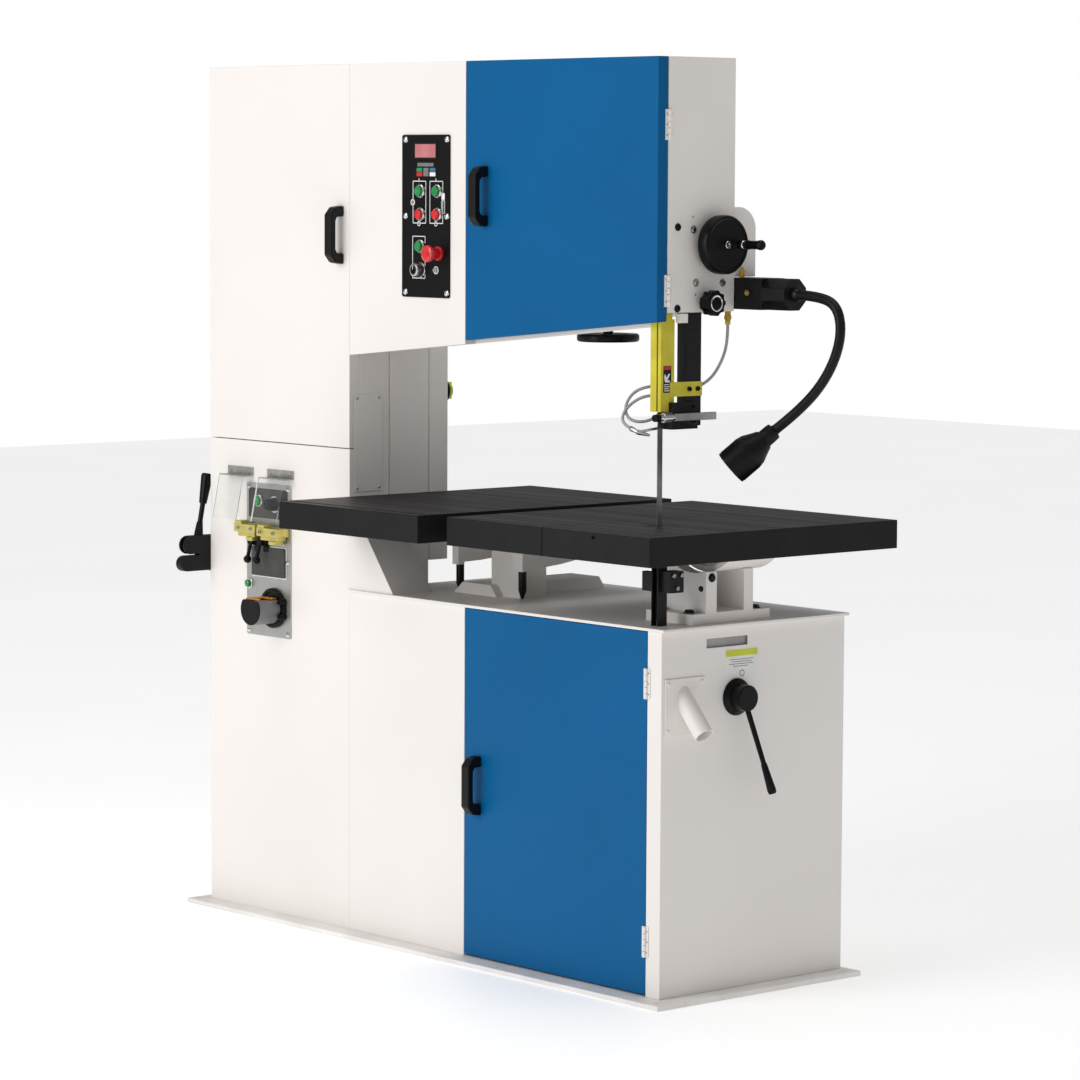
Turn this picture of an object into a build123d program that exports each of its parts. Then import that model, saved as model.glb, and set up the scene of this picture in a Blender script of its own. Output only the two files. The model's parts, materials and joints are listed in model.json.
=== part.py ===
from build123d import *
import os
from math import asin, atan2, cos, pi, radians, sin, tan

# Vertical band saw with three band wheels, a long throat and two tables.
# Millimetres, +Z up, +X to the right of the operator, +Y to the back.
# The origin is the point on the floor under the blade line: the blade runs up along x = 0, y = 0.

# Main frame
THROAT = 914.0                  # blade line to the column
CABINET_LEFT, CABINET_RIGHT = -THROAT, 52.0
COLUMN_LEFT = -1403.0
FRONT = -40.0                   # front plane of the panels and doors
CABINET_BACK = 457.0
COLUMN_BACK = 65.0
HEAD_RIGHT, HEAD_BACK = 31.0, 163.0
BASE_THICK = 10.0
CABINET_TOP = 732.0
TOP_PLATE = 6.0
FRAME_TOP = 1827.0
WALL = 3.0
ANCHOR_X = (-1417.0, 74.0)      # anchor holes in the base plate
ANCHOR_Y = (-62.0, 440.0)
ANCHOR_RADIUS = 7.0

# The head's sloping underside: front skirt, and the bottom plate set higher behind it
SKIRT_AT_COLUMN, SKIRT_AT_RIGHT = 1223.5, 1313.5
SKIRT_DROP = 25.0
FIXED_PANEL_RIGHT = -539.0      # white front panel between the column and the upper door

# Doors
DOOR_DEPTH, DOOR_SHEET, DOOR_GAP = 26.0, 2.0, 1.0
DOOR_BACK = FRONT + DOOR_DEPTH
FRAME_FACE = DOOR_BACK + DOOR_GAP     # face that a closed door shuts against
COLUMN_DOOR_BOTTOM = 1028.0
UPPER_DOOR_LEFT = -538.0
LOWER_DOOR = ((-537.0, 11.0), (14.0, 724.0))
HANDLE_WIDTH, HANDLE_HALF, HANDLE_REACH = 24.0, 61.0, 35.0
HANDLES = {"column": (-945.0, 1473.0), "upper": (-480.0, 1557.0), "lower": (-495.0, 366.0)}

# Band and wheels
BAND_THICK, BAND_WIDE = 1.0, 12.0
RIM_HALF = 8.0
AXLE_RADIUS = 15.0
RIGHT_RADIUS, LEFT_RADIUS = 240.0, 220.0
UPPER_WHEEL = (-RIGHT_RADIUS, 1569.0)
LOWER_WHEEL = (-RIGHT_RADIUS, 371.0)
LEFT_WHEEL = (-1159.0, 1420.0)
RIM_CLEARANCE = 0.3
RUNNING_FIT = 0.05

# Tables
TABLE_TOP = 928.0
TABLE_PLATE, TABLE_SKIRT, SKIRT_WALL = 20.0, 56.0, 15.0
TABLE_X, TABLE_Y = (-390.0, 202.0), (-211.0, 450.0)
TABLE_JOINT = -105.0            # where the two castings meet
AUX_X, AUX_Y = (-902.0, -451.0), (-235.0, 450.0)
INSERT_RADIUS, INSERT_THICK = 35.0, 4.0
TRUNNION_RADIUS, TRUNNION_Y = 98.0, (122.0, 250.0)

# Guide post, guard and hand controls
POST_X, POST_Y, POST_Z = (-8.5, 15.0), (50.0, 93.0), (1118.0, 1660.0)
SLIDE_CLEARANCE = 0.3
PINION_RADIUS = 15.0
HANDWHEEL_AT = (POST_Y[1] + PINION_RADIUS, 1468.0)
LOCK_AT = (84.0, 1356.0)
TENSION_AT = (UPPER_WHEEL[0], 79.0)

# Panels
CONTROL_X, CONTROL_Z = (-738.0, -586.0), (1350.0, 1680.0)
WELDER_X, WELDER_Z = (-1268.0, -1113.0), (608.0, 937.0)
PLATE_FRONT = FRONT - 3.0
BUTTONS = {
    "green_button_1": (-675.0, 1566.0), "green_button_2": (-621.0, 1566.0),
    "green_button_3": (-675.0, 1454.0), "red_button_1": (-675.0, 1519.0),
    "red_button_2": (-621.0, 1519.0), "weld_button": (-1220.0, 899.0),
}
BUTTON_RADIUS, BUTTON_TRAVEL = 10.0, 4.0
STOP_AT, SPEED_AT = (-618.0, 1440.0), (-675.0, 1406.0)
CLAMP_X, CLAMP_PIVOT_Z = (-1226.0, -1194.0), 812.0
GRINDER_AT, GRINDER_RADIUS, HOOD_RADIUS = (-1170.0, 671.0), 19.0, 33.0

# Cabinet side and lamp
CHUTE_START, CHUTE_END, CHUTE_RADIUS = (46.0, 18.0, 600.0), (112.0, 18.0, 527.0), 19.0
GEAR_AT = (159.0, 586.0)
SHEAR_X, SHEAR_PIVOT = (-1423.0, COLUMN_LEFT), (-70.0, 792.0)
LAMP_Y, LAMP_Z, LAMP_HALF = 194.6, 1373.0, 30.5
GOOSENECK_RADIUS = 9.5
GOOSENECK = [(168.2, 194.6, 1373), (222, 194.6, 1373), (285, 192, 1358), (302, 189, 1300),
             (276, 184, 1228), (215, 176, 1160), (147, 163, 1112)]
SHADE_DIRECTION = (-54.0, -52.0, -66.0)
SHADE_LENGTH, SHADE_MOUTH, SHADE_NECK = 100.0, 35.0, 15.0

# Air hose: from the bulkhead fitting under the head, behind the guide post, one loose turn, to the nozzle
HOSE_RADIUS = 3.0
HOSE = [(24, 154, 1312), (24, 154, 1280), (21, 144, 1244), (12, 124, 1208), (-12, 103, 1188),
        (-42, 72, 1189), (-66, 42, 1194), (-87, 12, 1184), (-91, -10, 1157), (-74, -20, 1132),
        (-51, -8, 1123), (-36, 22, 1132), (-39, 44, 1156), (-55, 34, 1177), (-75, 8, 1169),
        (-84, -20, 1145), (-71, -36, 1122), (-48, -34, 1114)]


def block(x, y, z):
    """Box between two limits on each axis."""
    size = (x[1] - x[0], y[1] - y[0], z[1] - z[0])
    middle = ((x[0] + x[1]) / 2, (y[0] + y[1]) / 2, (z[0] + z[1]) / 2)
    return Pos(*middle) * Box(*size)


def rod(radius, start, end, end_radius=None):
    """Round bar from one point to another, tapered if an end radius is given."""
    run = Vector(*end) - Vector(*start)
    place = Plane(origin=Vector(*start), z_dir=run)
    align = (Align.CENTER, Align.CENTER, Align.MIN)
    if end_radius is None:
        return place * Cylinder(radius, run.length, align=align)
    return place * Cone(radius, end_radius, run.length, align=align)


def front_prism(points, y):
    """Outline of (x, z) points, carried from y[0] to y[1]."""
    outline = Polyline(*[(px, y[0], pz) for px, pz in points], close=True)
    return extrude(make_face(outline), amount=y[1] - y[0], dir=(0, 1, 0))


def side_prism(points, x):
    """Outline of (y, z) points, carried from x[0] to x[1]."""
    outline = Polyline(*[(x[0], py, pz) for py, pz in points], close=True)
    return extrude(make_face(outline), amount=x[1] - x[0], dir=(1, 0, 0))


def skirt_height(x):
    """Height of the skirt's lower edge on the sloping underside of the head."""
    slope = (SKIRT_AT_RIGHT - SKIRT_AT_COLUMN) / (HEAD_RIGHT - CABINET_LEFT)
    return SKIRT_AT_COLUMN + slope * (x - CABINET_LEFT)


def sloped_outline(x, lift, top):
    """Four-sided outline over the sloping underside, lifted above the skirt's edge."""
    return [(x[0], skirt_height(x[0]) + lift), (x[1], skirt_height(x[1]) + lift), (x[1], top), (x[0], top)]


def bearing(wheel, y):
    """Bearing block behind a band wheel, bored for its axle."""
    x, z = wheel
    body = block((x - 50, x + 50), y, (z - 50, z + 50))
    return body, rod(AXLE_RADIUS + RUNNING_FIT, (x, y[0] - 1, z), (x, y[1] - 5, z))


def base_plate():
    plate = block((-1432, 96), (-85, 470), (0, BASE_THICK))
    for x in ANCHOR_X:
        for y in ANCHOR_Y:
            plate -= rod(ANCHOR_RADIUS, (x, y, -1), (x, y, BASE_THICK + 1))
    return plate


def cabinet_shell():
    top = CABINET_TOP - TOP_PLATE
    (door_left, door_right), (door_low, _) = LOWER_DOOR
    shell = block((CABINET_LEFT, CABINET_RIGHT), (FRONT, CABINET_BACK), (BASE_THICK, top))
    shell -= block((CABINET_LEFT + WALL, CABINET_RIGHT - WALL), (FRONT + WALL, CABINET_BACK - WALL),
                   (BASE_THICK - 1, top + 1))
    recess = (door_left - DOOR_GAP, door_right + DOOR_GAP)
    shell -= block(recess, (FRONT - 1, FRONT + WALL + 1), (BASE_THICK - 1, top + 1))
    frame = block((recess[0] - WALL, recess[1] + WALL), (FRONT, FRAME_FACE + WALL), (BASE_THICK, top))
    frame -= block(recess, (FRONT - 1, FRAME_FACE), (BASE_THICK - 1, top + 1))
    frame -= block((recess[0] + 25, recess[1] - 25), (FRONT - 1, 0), (door_low + 25, top - 25))
    shell += frame
    shell -= block((CABINET_RIGHT - 5, CABINET_RIGHT + 1), (79, 189), (687, 705))        # side slot
    shell -= rod(11, (CABINET_RIGHT - 5, *GEAR_AT), (CABINET_RIGHT + 1, *GEAR_AT))       # gear lever shaft
    shell -= block((CABINET_RIGHT - 5, CABINET_RIGHT + 1), (-15, 51), (560, 622))        # chip chute
    shell -= block((-480, -60), (CABINET_BACK - 5, CABINET_BACK + 1), (200, 560))        # motor service opening
    return shell


def cabinet_top():
    plate = block((CABINET_LEFT, CABINET_RIGHT + 10), (FRONT - 5, CABINET_BACK + 4),
                  (CABINET_TOP - TOP_PLATE, CABINET_TOP))
    plate -= block((-905, -800), (-15, 15), (CABINET_TOP - 10, CABINET_TOP + 1))         # slanting band run
    plate -= block((-7, 7), (-9, 9), (CABINET_TOP - 10, CABINET_TOP + 1))                # cutting run
    return plate


def gusset():
    """Sheet box over the slanting run of the band, welded to the column."""
    outline = [(CABINET_LEFT, CABINET_TOP), (-769, CABINET_TOP), (-855, 845), (-872, 868), (CABINET_LEFT, 868)]
    inside = [(CABINET_LEFT - 5, CABINET_TOP - 1), (-773, CABINET_TOP - 1), (-858, 843), (-873.5, 865),
              (CABINET_LEFT - 5, 865)]
    return front_prism(outline, (FRONT, COLUMN_BACK)), front_prism(inside, (FRONT + WALL, COLUMN_BACK - WALL))


def column_shell():
    shell = block((COLUMN_LEFT, CABINET_LEFT), (FRONT, COLUMN_BACK), (BASE_THICK, FRAME_TOP))
    outer_gusset, inner_gusset = gusset()
    shell += outer_gusset
    shell -= block((COLUMN_LEFT + WALL, CABINET_LEFT - WALL), (FRONT + WALL, COLUMN_BACK - WALL),
                   (BASE_THICK + WALL, FRAME_TOP - WALL))
    shell -= inner_gusset - block((CABINET_LEFT - 6, CABINET_LEFT + 1), (-50, 70), (700, 745))
    step = COLUMN_DOOR_BOTTOM - 2
    shell -= block((COLUMN_LEFT - 1, CABINET_LEFT + 1), (FRONT - 1, FRAME_FACE), (step, FRAME_TOP + 1))
    shell += block((COLUMN_LEFT, CABINET_LEFT), (FRONT, FRAME_FACE + 2), (step - WALL, step))
    ring = block((COLUMN_LEFT, CABINET_LEFT), (FRAME_FACE, FRAME_FACE + 2), (step, FRAME_TOP))
    ring -= block((COLUMN_LEFT + 22, CABINET_LEFT - 22), (FRAME_FACE - 1, FRAME_FACE + 3),
                  (step + 22, FRAME_TOP - 22))
    shell += ring
    shell -= block((CABINET_LEFT - 5, CABINET_LEFT + 1), (FRAME_FACE + 2, 50), (1560, 1790))  # band to the head
    body, bore = bearing(LEFT_WHEEL, (28, COLUMN_BACK))
    shell += body
    return shell - bore


def head_shell():
    span = (CABINET_LEFT, HEAD_RIGHT)
    shell = front_prism(sloped_outline(span, SKIRT_DROP, FRAME_TOP), (FRAME_FACE, HEAD_BACK))
    panel = (CABINET_LEFT, FIXED_PANEL_RIGHT)
    shell += front_prism(sloped_outline(panel, 0, FRAME_TOP), (FRONT, FRAME_FACE))
    shell += front_prism(sloped_outline((CABINET_LEFT, -18), 0, 1400), (FRAME_FACE, FRAME_FACE + 2))
    inner = (CABINET_LEFT - 1, HEAD_RIGHT - WALL)
    shell -= front_prism(sloped_outline(inner, SKIRT_DROP + WALL, FRAME_TOP - WALL),
                         (FRAME_FACE + 2, HEAD_BACK - WALL))
    panel_inner = (CABINET_LEFT - 1, FIXED_PANEL_RIGHT - WALL)
    shell -= front_prism(sloped_outline(panel_inner, WALL, FRAME_TOP - WALL), (FRONT + WALL, FRAME_FACE + 3))
    shell += front_prism(sloped_outline(panel, 0, skirt_height(panel[0]) + 60), (FRAME_FACE, FRAME_FACE + 2))
    doorway = (UPPER_DOOR_LEFT + 22, 20)
    shell -= front_prism(sloped_outline(doorway, SKIRT_DROP + 14, FRAME_TOP - 22),
                         (FRAME_FACE - 1, FRAME_FACE + 3))
    shell += post_guide()
    shell -= block((-18, 18), (FRAME_FACE - 2, 23.5), (1300, 1400))                      # blade guard
    shell -= block((POST_X[0] - SLIDE_CLEARANCE, POST_X[1] + SLIDE_CLEARANCE),
                   (POST_Y[0] - SLIDE_CLEARANCE, POST_Y[1] + SLIDE_CLEARANCE), (1300, 1500))
    body, bore = bearing(UPPER_WHEEL, (40, HEAD_BACK - 1))
    shell += body
    shell += rod(22, (HEAD_RIGHT - 1, *HANDWHEEL_AT), (HEAD_RIGHT + 8, *HANDWHEEL_AT))
    shell += rod(18, (*TENSION_AT, 1300), (*TENSION_AT, 1330))
    shell -= bore
    shell -= rod(8 + RUNNING_FIT, (HEAD_RIGHT - 10, *HANDWHEEL_AT), (HEAD_RIGHT + 9, *HANDWHEEL_AT))
    shell -= rod(6 + RUNNING_FIT, (POST_X[1], *LOCK_AT), (HEAD_RIGHT + 9, *LOCK_AT))
    shell -= rod(10 + RUNNING_FIT, (*TENSION_AT, 1290), (*TENSION_AT, 1545))
    return shell


def post_guide():
    """Block inside the head that the guide post slides in."""
    low = [(-26, skirt_height(-26) + SKIRT_DROP), (HEAD_RIGHT - 1, skirt_height(HEAD_RIGHT) + SKIRT_DROP),
           (HEAD_RIGHT - 1, 1440), (-26, 1440)]
    return front_prism(low, (38, 105))


def frame_post():
    post = block((-1200, CABINET_LEFT), (68, 175), (BASE_THICK, 1800))
    return post - block((-1192, CABINET_LEFT - 8), (76, 167), (BASE_THICK + 8, 1792))


def electrical_box():
    box = fillet(block((-1160, CABINET_LEFT), (176, 228), (781, 1790)).edges().filter_by(Axis.Z), 4)
    return box - block((-1160 + WALL, CABINET_LEFT - WALL), (175, 228 - WALL), (781 + WALL, 1790 - WALL))


def service_covers():
    side = block((CABINET_LEFT, CABINET_LEFT + 2.5), (-29, 44), (936, 1140))
    back = block((-500, -40), (CABINET_BACK, CABINET_BACK + 2.5), (180, 580))
    for row in range(8):
        low = 420 + 16 * row
        back -= block((-400, -140), (CABINET_BACK - 1, CABINET_BACK + 4), (low, low + 5))
    return [side, back]


def control_plate():
    plate = block(CONTROL_X, (PLATE_FRONT, FRONT), CONTROL_Z)
    for name, at in BUTTONS.items():
        if name != "weld_button":
            plate = with_bezel(plate, at)
    for x, z in (STOP_AT, SPEED_AT):
        plate += rod(14, (x, PLATE_FRONT + 1, z), (x, PLATE_FRONT - 4, z))
        plate -= rod(6 + RUNNING_FIT, (x, PLATE_FRONT - 5, z), (x, FRONT, z))
    plate += block((-697, -627), (PLATE_FRONT - 1.5, PLATE_FRONT), (1632, 1663))         # display
    plate += rod(7, (-628, PLATE_FRONT, 1406), (-628, PLATE_FRONT - 6, 1406))            # key lock
    return plate


def with_bezel(plate, at):
    """Adds the raised ring round a push button and the hole the cap slides in."""
    x, z = at
    plate += rod(14, (x, PLATE_FRONT + 1, z), (x, PLATE_FRONT - 7, z))
    return plate - rod(BUTTON_RADIUS + SLIDE_CLEARANCE, (x, PLATE_FRONT - 8, z), (x, FRONT, z))


def push_button(at):
    x, z = at
    cap = rod(BUTTON_RADIUS, (x, PLATE_FRONT - 2, z), (x, PLATE_FRONT - 12.5, z))
    return fillet(cap.faces().sort_by(Axis.Y)[0].edges(), 1.5)


def emergency_stop():
    x, z = STOP_AT
    stem = rod(6, (x, FRONT - BUTTON_TRAVEL, z), (x, PLATE_FRONT - 16, z))
    head = rod(10, (x, PLATE_FRONT - 14, z), (x, PLATE_FRONT - 24, z), 16)
    cap = rod(17.5, (x, PLATE_FRONT - 23, z), (x, PLATE_FRONT - 36, z))
    return stem + head + fillet(cap.faces().sort_by(Axis.Y)[0].edges(), 5)


def speed_knob():
    x, z = SPEED_AT
    knob = rod(14, (x, PLATE_FRONT - 5, z), (x, PLATE_FRONT - 26, z), 12)
    knob += block((x - 1.5, x + 1.5), (PLATE_FRONT - 27, PLATE_FRONT - 20), (z, z + 11.5))
    return knob + rod(6, (x, FRONT - 1, z), (x, PLATE_FRONT - 6, z))


def welder_plate():
    plate = with_bezel(block(WELDER_X, (PLATE_FRONT, FRONT), WELDER_Z), BUTTONS["weld_button"])
    plate += rod(6, (-1257, PLATE_FRONT, 718), (-1257, PLATE_FRONT - 6, 718))            # signal lamp
    plate += rod(13, (-1168, PLATE_FRONT, 894), (-1168, PLATE_FRONT - 22, 894))          # pressure knob
    return plate


def weld_jaws():
    """Two jaws, the dark clamp plate under them and the two brackets of the clear shields."""
    jaws = [block((-1272, -1198), (PLATE_FRONT - 32, PLATE_FRONT), (822, 850)),
            block((-1192, -1118), (PLATE_FRONT - 32, PLATE_FRONT), (822, 850))]
    clamp_plate = block((-1246, -1130), (PLATE_FRONT - 6, PLATE_FRONT), (738, 800))
    for x in CLAMP_X:
        clamp_plate += rod(9, (x, PLATE_FRONT, CLAMP_PIVOT_Z), (x, PLATE_FRONT - 14, CLAMP_PIVOT_Z))
        clamp_plate += block((x - 8, x + 8), (PLATE_FRONT - 6, PLATE_FRONT), (790, CLAMP_PIVOT_Z))
        clamp_plate -= rod(4 + RUNNING_FIT, (x, PLATE_FRONT - 1, CLAMP_PIVOT_Z),
                           (x, PLATE_FRONT - 15, CLAMP_PIVOT_Z))
    brackets = [block((left, left + 84), (FRONT - 26, FRONT), (952, 968)) for left in (-1322, -1182)]
    return jaws + [clamp_plate] + brackets


def clamp_lever(x):
    pivot = (x, PLATE_FRONT - 15, CLAMP_PIVOT_Z)
    arm = rod(4, (x, PLATE_FRONT - 2, CLAMP_PIVOT_Z), (x, PLATE_FRONT - 24, CLAMP_PIVOT_Z))
    arm += rod(8, pivot, (x, PLATE_FRONT - 24, CLAMP_PIVOT_Z))
    arm += rod(4, (x, PLATE_FRONT - 20, CLAMP_PIVOT_Z), (x, PLATE_FRONT - 29, 780))
    return arm + Pos(x, PLATE_FRONT - 30, 774) * Sphere(8.5)


def grinder_guard():
    """Clamp ring, and a D-shaped hood round the wheel with a rest half over its open top."""
    x, z = GRINDER_AT
    ring = rod(42, (x, PLATE_FRONT, z), (x, PLATE_FRONT - 9, z))
    hood = rod(HOOD_RADIUS, (x, PLATE_FRONT, z), (x, PLATE_FRONT - 66, z))
    hood -= rod(HOOD_RADIUS - WALL, (x, PLATE_FRONT - 9, z), (x, PLATE_FRONT - 63, z))
    hood -= block((x - 34, x + 34), (PLATE_FRONT - 67, PLATE_FRONT - 9), (z + 21, z + 34))
    rest = block((x - 25, x + 20), (PLATE_FRONT - 58, PLATE_FRONT - 9), (z + 21, z + 24))
    rest -= block((x - 6, x + 21), (PLATE_FRONT - 52, PLATE_FRONT - 22), (z + 20, z + 25))
    return ring + hood + rest - rod(5 + RUNNING_FIT, (x, PLATE_FRONT - 1, z), (x, PLATE_FRONT - 10, z))


def grinder_wheel():
    x, z = GRINDER_AT
    wheel = rod(GRINDER_RADIUS, (x, PLATE_FRONT - 18, z), (x, PLATE_FRONT - 52, z))
    wheel += rod(5, (x, PLATE_FRONT - 2, z), (x, PLATE_FRONT - 54, z))
    return wheel + rod(9, (x, PLATE_FRONT - 52, z), (x, PLATE_FRONT - 57, z))


def shear_block():
    """Two round-ended jaws with the mouth for the blade between them and the lever's slot in the upper one."""
    body = block(SHEAR_X, (-92, 30), (735, 812))
    body += rod(20, (SHEAR_X[0], -92, 792), (SHEAR_X[1], -92, 792))
    body += rod(17, (SHEAR_X[0], -103, 752), (SHEAR_X[1], -103, 752))
    body += block(SHEAR_X, (-103, -90), (735, 769))
    body -= block((SHEAR_X[0] + 5, SHEAR_X[1] - 5), (-115, -38), (770, 815))             # room for the lever
    body -= block((SHEAR_X[0] - 1, SHEAR_X[1] + 1), (-125, -70), (769, 774))             # mouth for the blade
    y, z = SHEAR_PIVOT
    return body - rod(5 + RUNNING_FIT, (SHEAR_X[0] - 1, y, z), (SHEAR_X[1] + 1, y, z))


def shear_lever():
    y, z = SHEAR_PIVOT
    x = (SHEAR_X[0] + 5.5, SHEAR_X[1] - 5.5)
    middle = (x[0] + x[1]) / 2
    root = side_prism([(y - 14, z - 12), (y + 14, z - 12), (y + 13, z + 50), (y + 3, z + 50), (y - 4, z + 30)], x)
    arm = rod(6, (middle, y + 8, z + 48), (middle - 6, y + 18, z + 90))
    grip = rod(9, (middle - 5, y + 14, z + 70), (middle - 7, y + 32, z + 153), 13)
    pin = rod(5, (SHEAR_X[0] - 3, y, z), (SHEAR_X[1] - 1, y, z))
    return root + arm + grip + pin


def chip_chute():
    plate = block((CABINET_RIGHT, CABINET_RIGHT + 3), (-32, 73), (522, 634))
    along = (Vector(*CHUTE_END) - Vector(*CHUTE_START)).normalized()
    pipe = rod(CHUTE_RADIUS, Vector(*CHUTE_START) - along * 30, CHUTE_END)
    pipe -= block((0, CABINET_RIGHT), (-100, 100), (500, 700))
    bore = rod(CHUTE_RADIUS - 2, Vector(*CHUTE_START) - along * 40, Vector(*CHUTE_END) + along * 5)
    return plate + pipe - bore


def lower_guide():
    """Channel round the blade under the table, with its guide block and adjusting knob."""
    guard = block((-10, 10), (-12, 12), (CABINET_TOP, 860))
    guard -= block((-7, 7), (-13, 9), (CABINET_TOP - 1, 861))
    guard += block((10, 38), (-5, 30), (798, 840))
    guard += block((-44, -10), (-5, 8), (798, 836))
    return guard


def trunnion_cradle():
    foot = block((-95, 38), (53, 262), (CABINET_TOP, 753))
    body = front_prism([(-80, 753), (38, 753), (38, 834), (-66, 868), (-70, 840), (-80, 830)], (89, 216))
    body -= rod(TRUNNION_RADIUS + SLIDE_CLEARANCE, (0, 80, TABLE_TOP), (0, 260, TABLE_TOP))
    body -= block((-100, 50), (118, 191), (754, 845))                                    # open under the drum
    return foot + body


def trunnion_barrel():
    barrel = rod(TRUNNION_RADIUS, (0, TRUNNION_Y[0], TABLE_TOP), (0, TRUNNION_Y[1], TABLE_TOP))
    barrel -= block((-120, 120), (100, 300), (TABLE_TOP - TABLE_PLATE, TABLE_TOP + 120))
    barrel -= rod(TRUNNION_RADIUS - 12, (0, TRUNNION_Y[0] - 1, TABLE_TOP), (0, TRUNNION_Y[0] + 6, TABLE_TOP))
    return barrel


def table_casting(x, y, top=TABLE_TOP, open_side=None):
    """Flat plate with a skirt round its underside; the side named has no skirt."""
    casting = block(x, y, (top - TABLE_SKIRT, top))
    inner_x = [x[0] + SKIRT_WALL, x[1] - SKIRT_WALL]
    if open_side == "left":
        inner_x[0] = x[0] + 8
    if open_side == "right":
        inner_x[1] = x[1] - 8
    inner_y = (y[0] + SKIRT_WALL, y[1] - SKIRT_WALL)
    return casting - block(inner_x, inner_y, (top - TABLE_SKIRT - 1, top - TABLE_PLATE))


def table_left():
    return table_casting((TABLE_X[0], TABLE_JOINT), TABLE_Y, open_side="right")


def table_right():
    """Casting with the insert's hole; the blade is threaded in along the joint and then a slot to the hole."""
    table = table_casting((TABLE_JOINT, TABLE_X[1]), TABLE_Y, open_side="left")
    table -= rod(INSERT_RADIUS - 4, (0, 0, TABLE_TOP - 40), (0, 0, TABLE_TOP + 1))
    table -= rod(INSERT_RADIUS + 0.1, (0, 0, TABLE_TOP - INSERT_THICK), (0, 0, TABLE_TOP + 1))
    depth = (TABLE_TOP - TABLE_SKIRT - 1, TABLE_TOP + 1)
    table -= block((TABLE_JOINT - 1, TABLE_JOINT + 1.5), (TABLE_Y[0] - 1, 0.8), depth)
    table -= block((TABLE_JOINT - 1, 0), (-0.8, 0.8), depth)
    return table


def table_insert():
    insert = rod(INSERT_RADIUS, (0, 0, TABLE_TOP - INSERT_THICK), (0, 0, TABLE_TOP))
    return insert - block((-5.5, 5.5), (-INSERT_RADIUS - 1, 12), (TABLE_TOP - 10, TABLE_TOP + 1))


def aux_table():
    table = table_casting(AUX_X, AUX_Y)
    return table - block((AUX_X[0] - 1, AUX_X[1] + 1), (-214, -207), (TABLE_TOP - 8, TABLE_TOP + 1))


def aux_pedestal():
    """Foot and centre block, with a plate hung at each side on a cross web and a levelling stud at its corner."""
    top = TABLE_TOP - TABLE_PLATE
    foot = front_prism([(-737, CABINET_TOP), (-602, CABINET_TOP), (-621, 755), (-711, 755)], (99, 400))
    web = block((-640, -550), (118, 190), (CABINET_TOP, top))
    web += block((-724, -640), (118, 132), (TABLE_TOP - TABLE_SKIRT + 2, top))
    pieces = foot + web
    for left, right in ((-744, -724), (-550, -520)):
        upright = block((left, right), (99, 400), (790, top))
        upright -= side_prism(under_upright(), (left - 1, right + 1))
        pieces += upright
    for x in (-734, -535):
        pieces += rod(8, (x, 112, 790), (x, 112, 750))
        pieces += rod(8, (x, 112, 750), (x, 112, CABINET_TOP), 1.5)
    return pieces


def under_upright():
    """Outline in (y, z) of what is cut away under an upright, so that its lower edge is a quarter ellipse."""
    turns = [k * pi / 20 for k in range(11)]
    curve = [(115 + 285 * sin(turn), 900 - 105 * cos(turn)) for turn in turns]
    return curve + [(420, 900), (420, 780), (115, 780)]


def post_housing():
    housing = block((-42, HEAD_RIGHT), (HEAD_BACK, 221), (1405, 1540))
    upper_back = housing.edges().filter_by(Axis.X).group_by(Axis.Z)[-1].sort_by(Axis.Y)[-1]
    return fillet(upper_back, 44)


def lamp_base():
    base = block((10, 108), (HEAD_BACK, LAMP_Y + LAMP_HALF), (LAMP_Z - LAMP_HALF, LAMP_Z + LAMP_HALF))
    octagon = Plane(origin=(108, LAMP_Y, LAMP_Z), x_dir=(0, 1, 0), z_dir=(1, 0, 0))
    across_corners = LAMP_HALF / cos(pi / 8)
    housing = extrude(octagon * RegularPolygon(across_corners, 8, rotation=22.5), amount=60)
    base += housing
    return base - rod(6 + RUNNING_FIT, (150, LAMP_Y, LAMP_Z), (169, LAMP_Y, LAMP_Z))


def bend_radii(points):
    """One radius for each corner: 0.45 of the shorter run over the tangent of half the turn."""
    radii = []
    for a, b, c in zip(points, points[1:], points[2:]):
        before, after = Vector(*b) - Vector(*a), Vector(*c) - Vector(*b)
        half_turn = radians(before.get_angle(after)) / 2
        radii.append(0.45 * min(before.length, after.length) / tan(half_turn))
    return radii


def tube(points, radius):
    """Round bar along straight runs joined by tangent arcs."""
    radii = bend_radii(points)
    path = FilletPolyline(*points, radius=radii)
    start = Plane(origin=points[0], z_dir=Vector(*points[1]) - Vector(*points[0]))
    solid = sweep(start * Circle(radius), path=path)
    print("tube", round(path.length, 1), "mm, volume ratio",
          round(solid.volume / (pi * radius ** 2 * path.length), 4), "radii", [round(r) for r in radii])
    return solid


def lamp_arm():
    arm = tube(GOOSENECK, GOOSENECK_RADIUS)
    arm += rod(6, (152, LAMP_Y, LAMP_Z), (170, LAMP_Y, LAMP_Z))
    arm += rod(13, (168.5, LAMP_Y, LAMP_Z), (174, LAMP_Y, LAMP_Z))
    end = Vector(*GOOSENECK[-1])
    return arm + Pos(*end) * Sphere(GOOSENECK_RADIUS + 1.5)


def lamp_head():
    """Shade that pivots on the ball at the end of the gooseneck."""
    along = Vector(*SHADE_DIRECTION).normalized()
    neck = Vector(*GOOSENECK[-1]) + along * (GOOSENECK_RADIUS + 2)
    middle, end = neck + along * (SHADE_LENGTH * 0.5), neck + along * SHADE_LENGTH
    shade = rod(SHADE_NECK + 5, neck, middle, SHADE_MOUTH - 2)
    shade += rod(SHADE_MOUTH - 2, middle, end, SHADE_MOUTH)
    return shade - rod(SHADE_MOUTH - 4, end - along * 4, end + along)


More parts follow.
